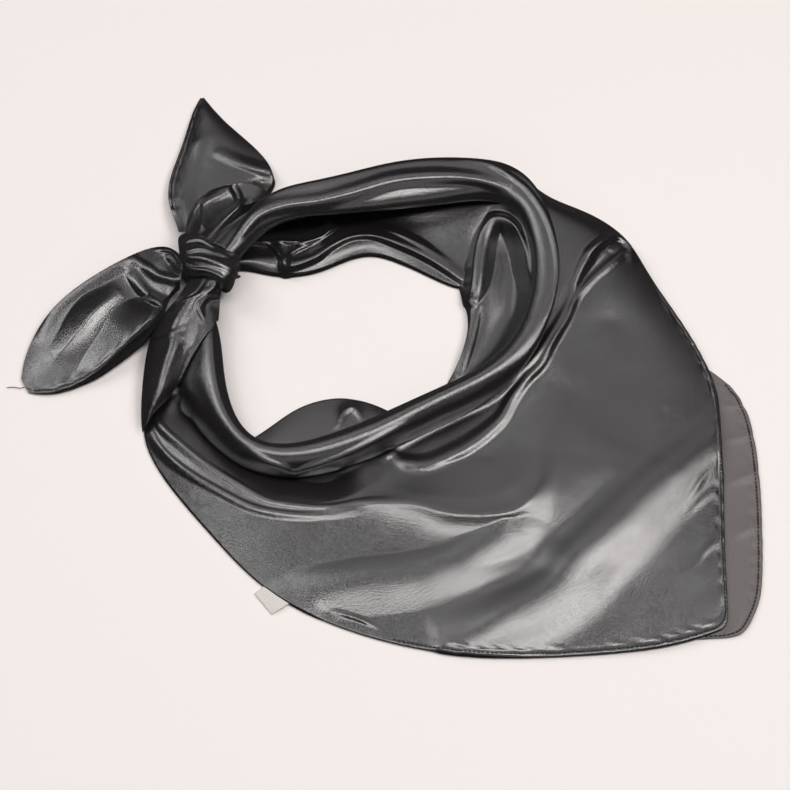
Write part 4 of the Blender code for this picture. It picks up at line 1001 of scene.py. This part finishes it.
def table_top():
    """The pale seamless table that the scarf lies on."""
    bm = bmesh.new()
    bmesh.ops.create_grid(bm, x_segments=1, y_segments=1, size=4)
    mesh = bpy.data.meshes.new("table")
    bm.to_mesh(mesh)
    bm.free()
    mesh.materials.append(plain_finish("matte paper backdrop", "#FBF6F3", 0.9))
    table = bpy.data.objects.new("table", mesh)
    bpy.context.scene.collection.objects.link(table)
    # Unseen by gloss, as if dark cards stood round the scarf, which is how its steep folds turn black
    table.visible_glossy = False


def soft_light(name, place, size, power, colour):
    """A softbox of the given width and depth that faces the scarf."""
    lamp = bpy.data.lights.new(name, "AREA")
    lamp.shape = "RECTANGLE"
    lamp.size, lamp.size_y, lamp.energy, lamp.color = *size, power, colour
    box = bpy.data.objects.new(name, lamp)
    box.location = place
    box.rotation_euler = (-box.location).to_track_quat("-Z", "Y").to_euler()
    bpy.context.scene.collection.objects.link(box)


table_top()
soft_light("overhead softbox", (0, -0.5, 2.2), (2.6, 0.5), 23, (1, 0.968, 0.955))
soft_light("left softbox", (-1.5, 0.85, 1.78), (0.6, 1.4), 13.5, (0.99, 0.97, 0.98))
soft_light("right softbox", (1.22, 0.02, 1.85), (0.9, 0.75), 14.5, (1, 0.968, 0.955))
soft_light("pale wall behind the table", (0, 1.5, 2.0), (2.6, 2.1), 9.3, (1, 0.968, 0.975))
soft_light("pale wall behind the eye", (0, -2.2, 1.6), (3.0, 1.2), 6, (1, 0.968, 0.975))

# The studio is pale overhead and dark towards the floor
world = bpy.data.worlds.new("studio")
bpy.context.scene.world = world
world.use_nodes = True
outward = add(world.node_tree, "ShaderNodeTexCoord")
split = add(world.node_tree, "ShaderNodeSeparateXYZ", {"Vector": outward.outputs["Generated"]})
paleness = add(world.node_tree, "ShaderNodeMapRange",
               {"Value": split.outputs["Z"],
                "From Min": 0.35, "From Max": 0.9, "To Min": 0.02, "To Max": 0.05})
world.node_tree.nodes["Background"].inputs["Color"].default_value = (1, 0.96, 0.94, 1)
world.node_tree.links.new(paleness.outputs["Result"], world.node_tree.nodes["Background"].inputs["Strength"])

eye = bpy.data.objects.new("eye", bpy.data.cameras.new("eye"))
eye.data.lens, eye.data.sensor_width = 100, 36
eye.location = (-MIDDLE[0] * MM, (-MIDDLE[1] - EYE_BACK) * MM, EYE_UP * MM)
eye.rotation_euler = (math.pi / 2 - EYE_TILT, 0, 0)
bpy.context.scene.collection.objects.link(eye)
bpy.context.scene.camera = eye
bpy.context.scene.view_settings.view_transform = "Standard"

bpy.context.view_layer.update()
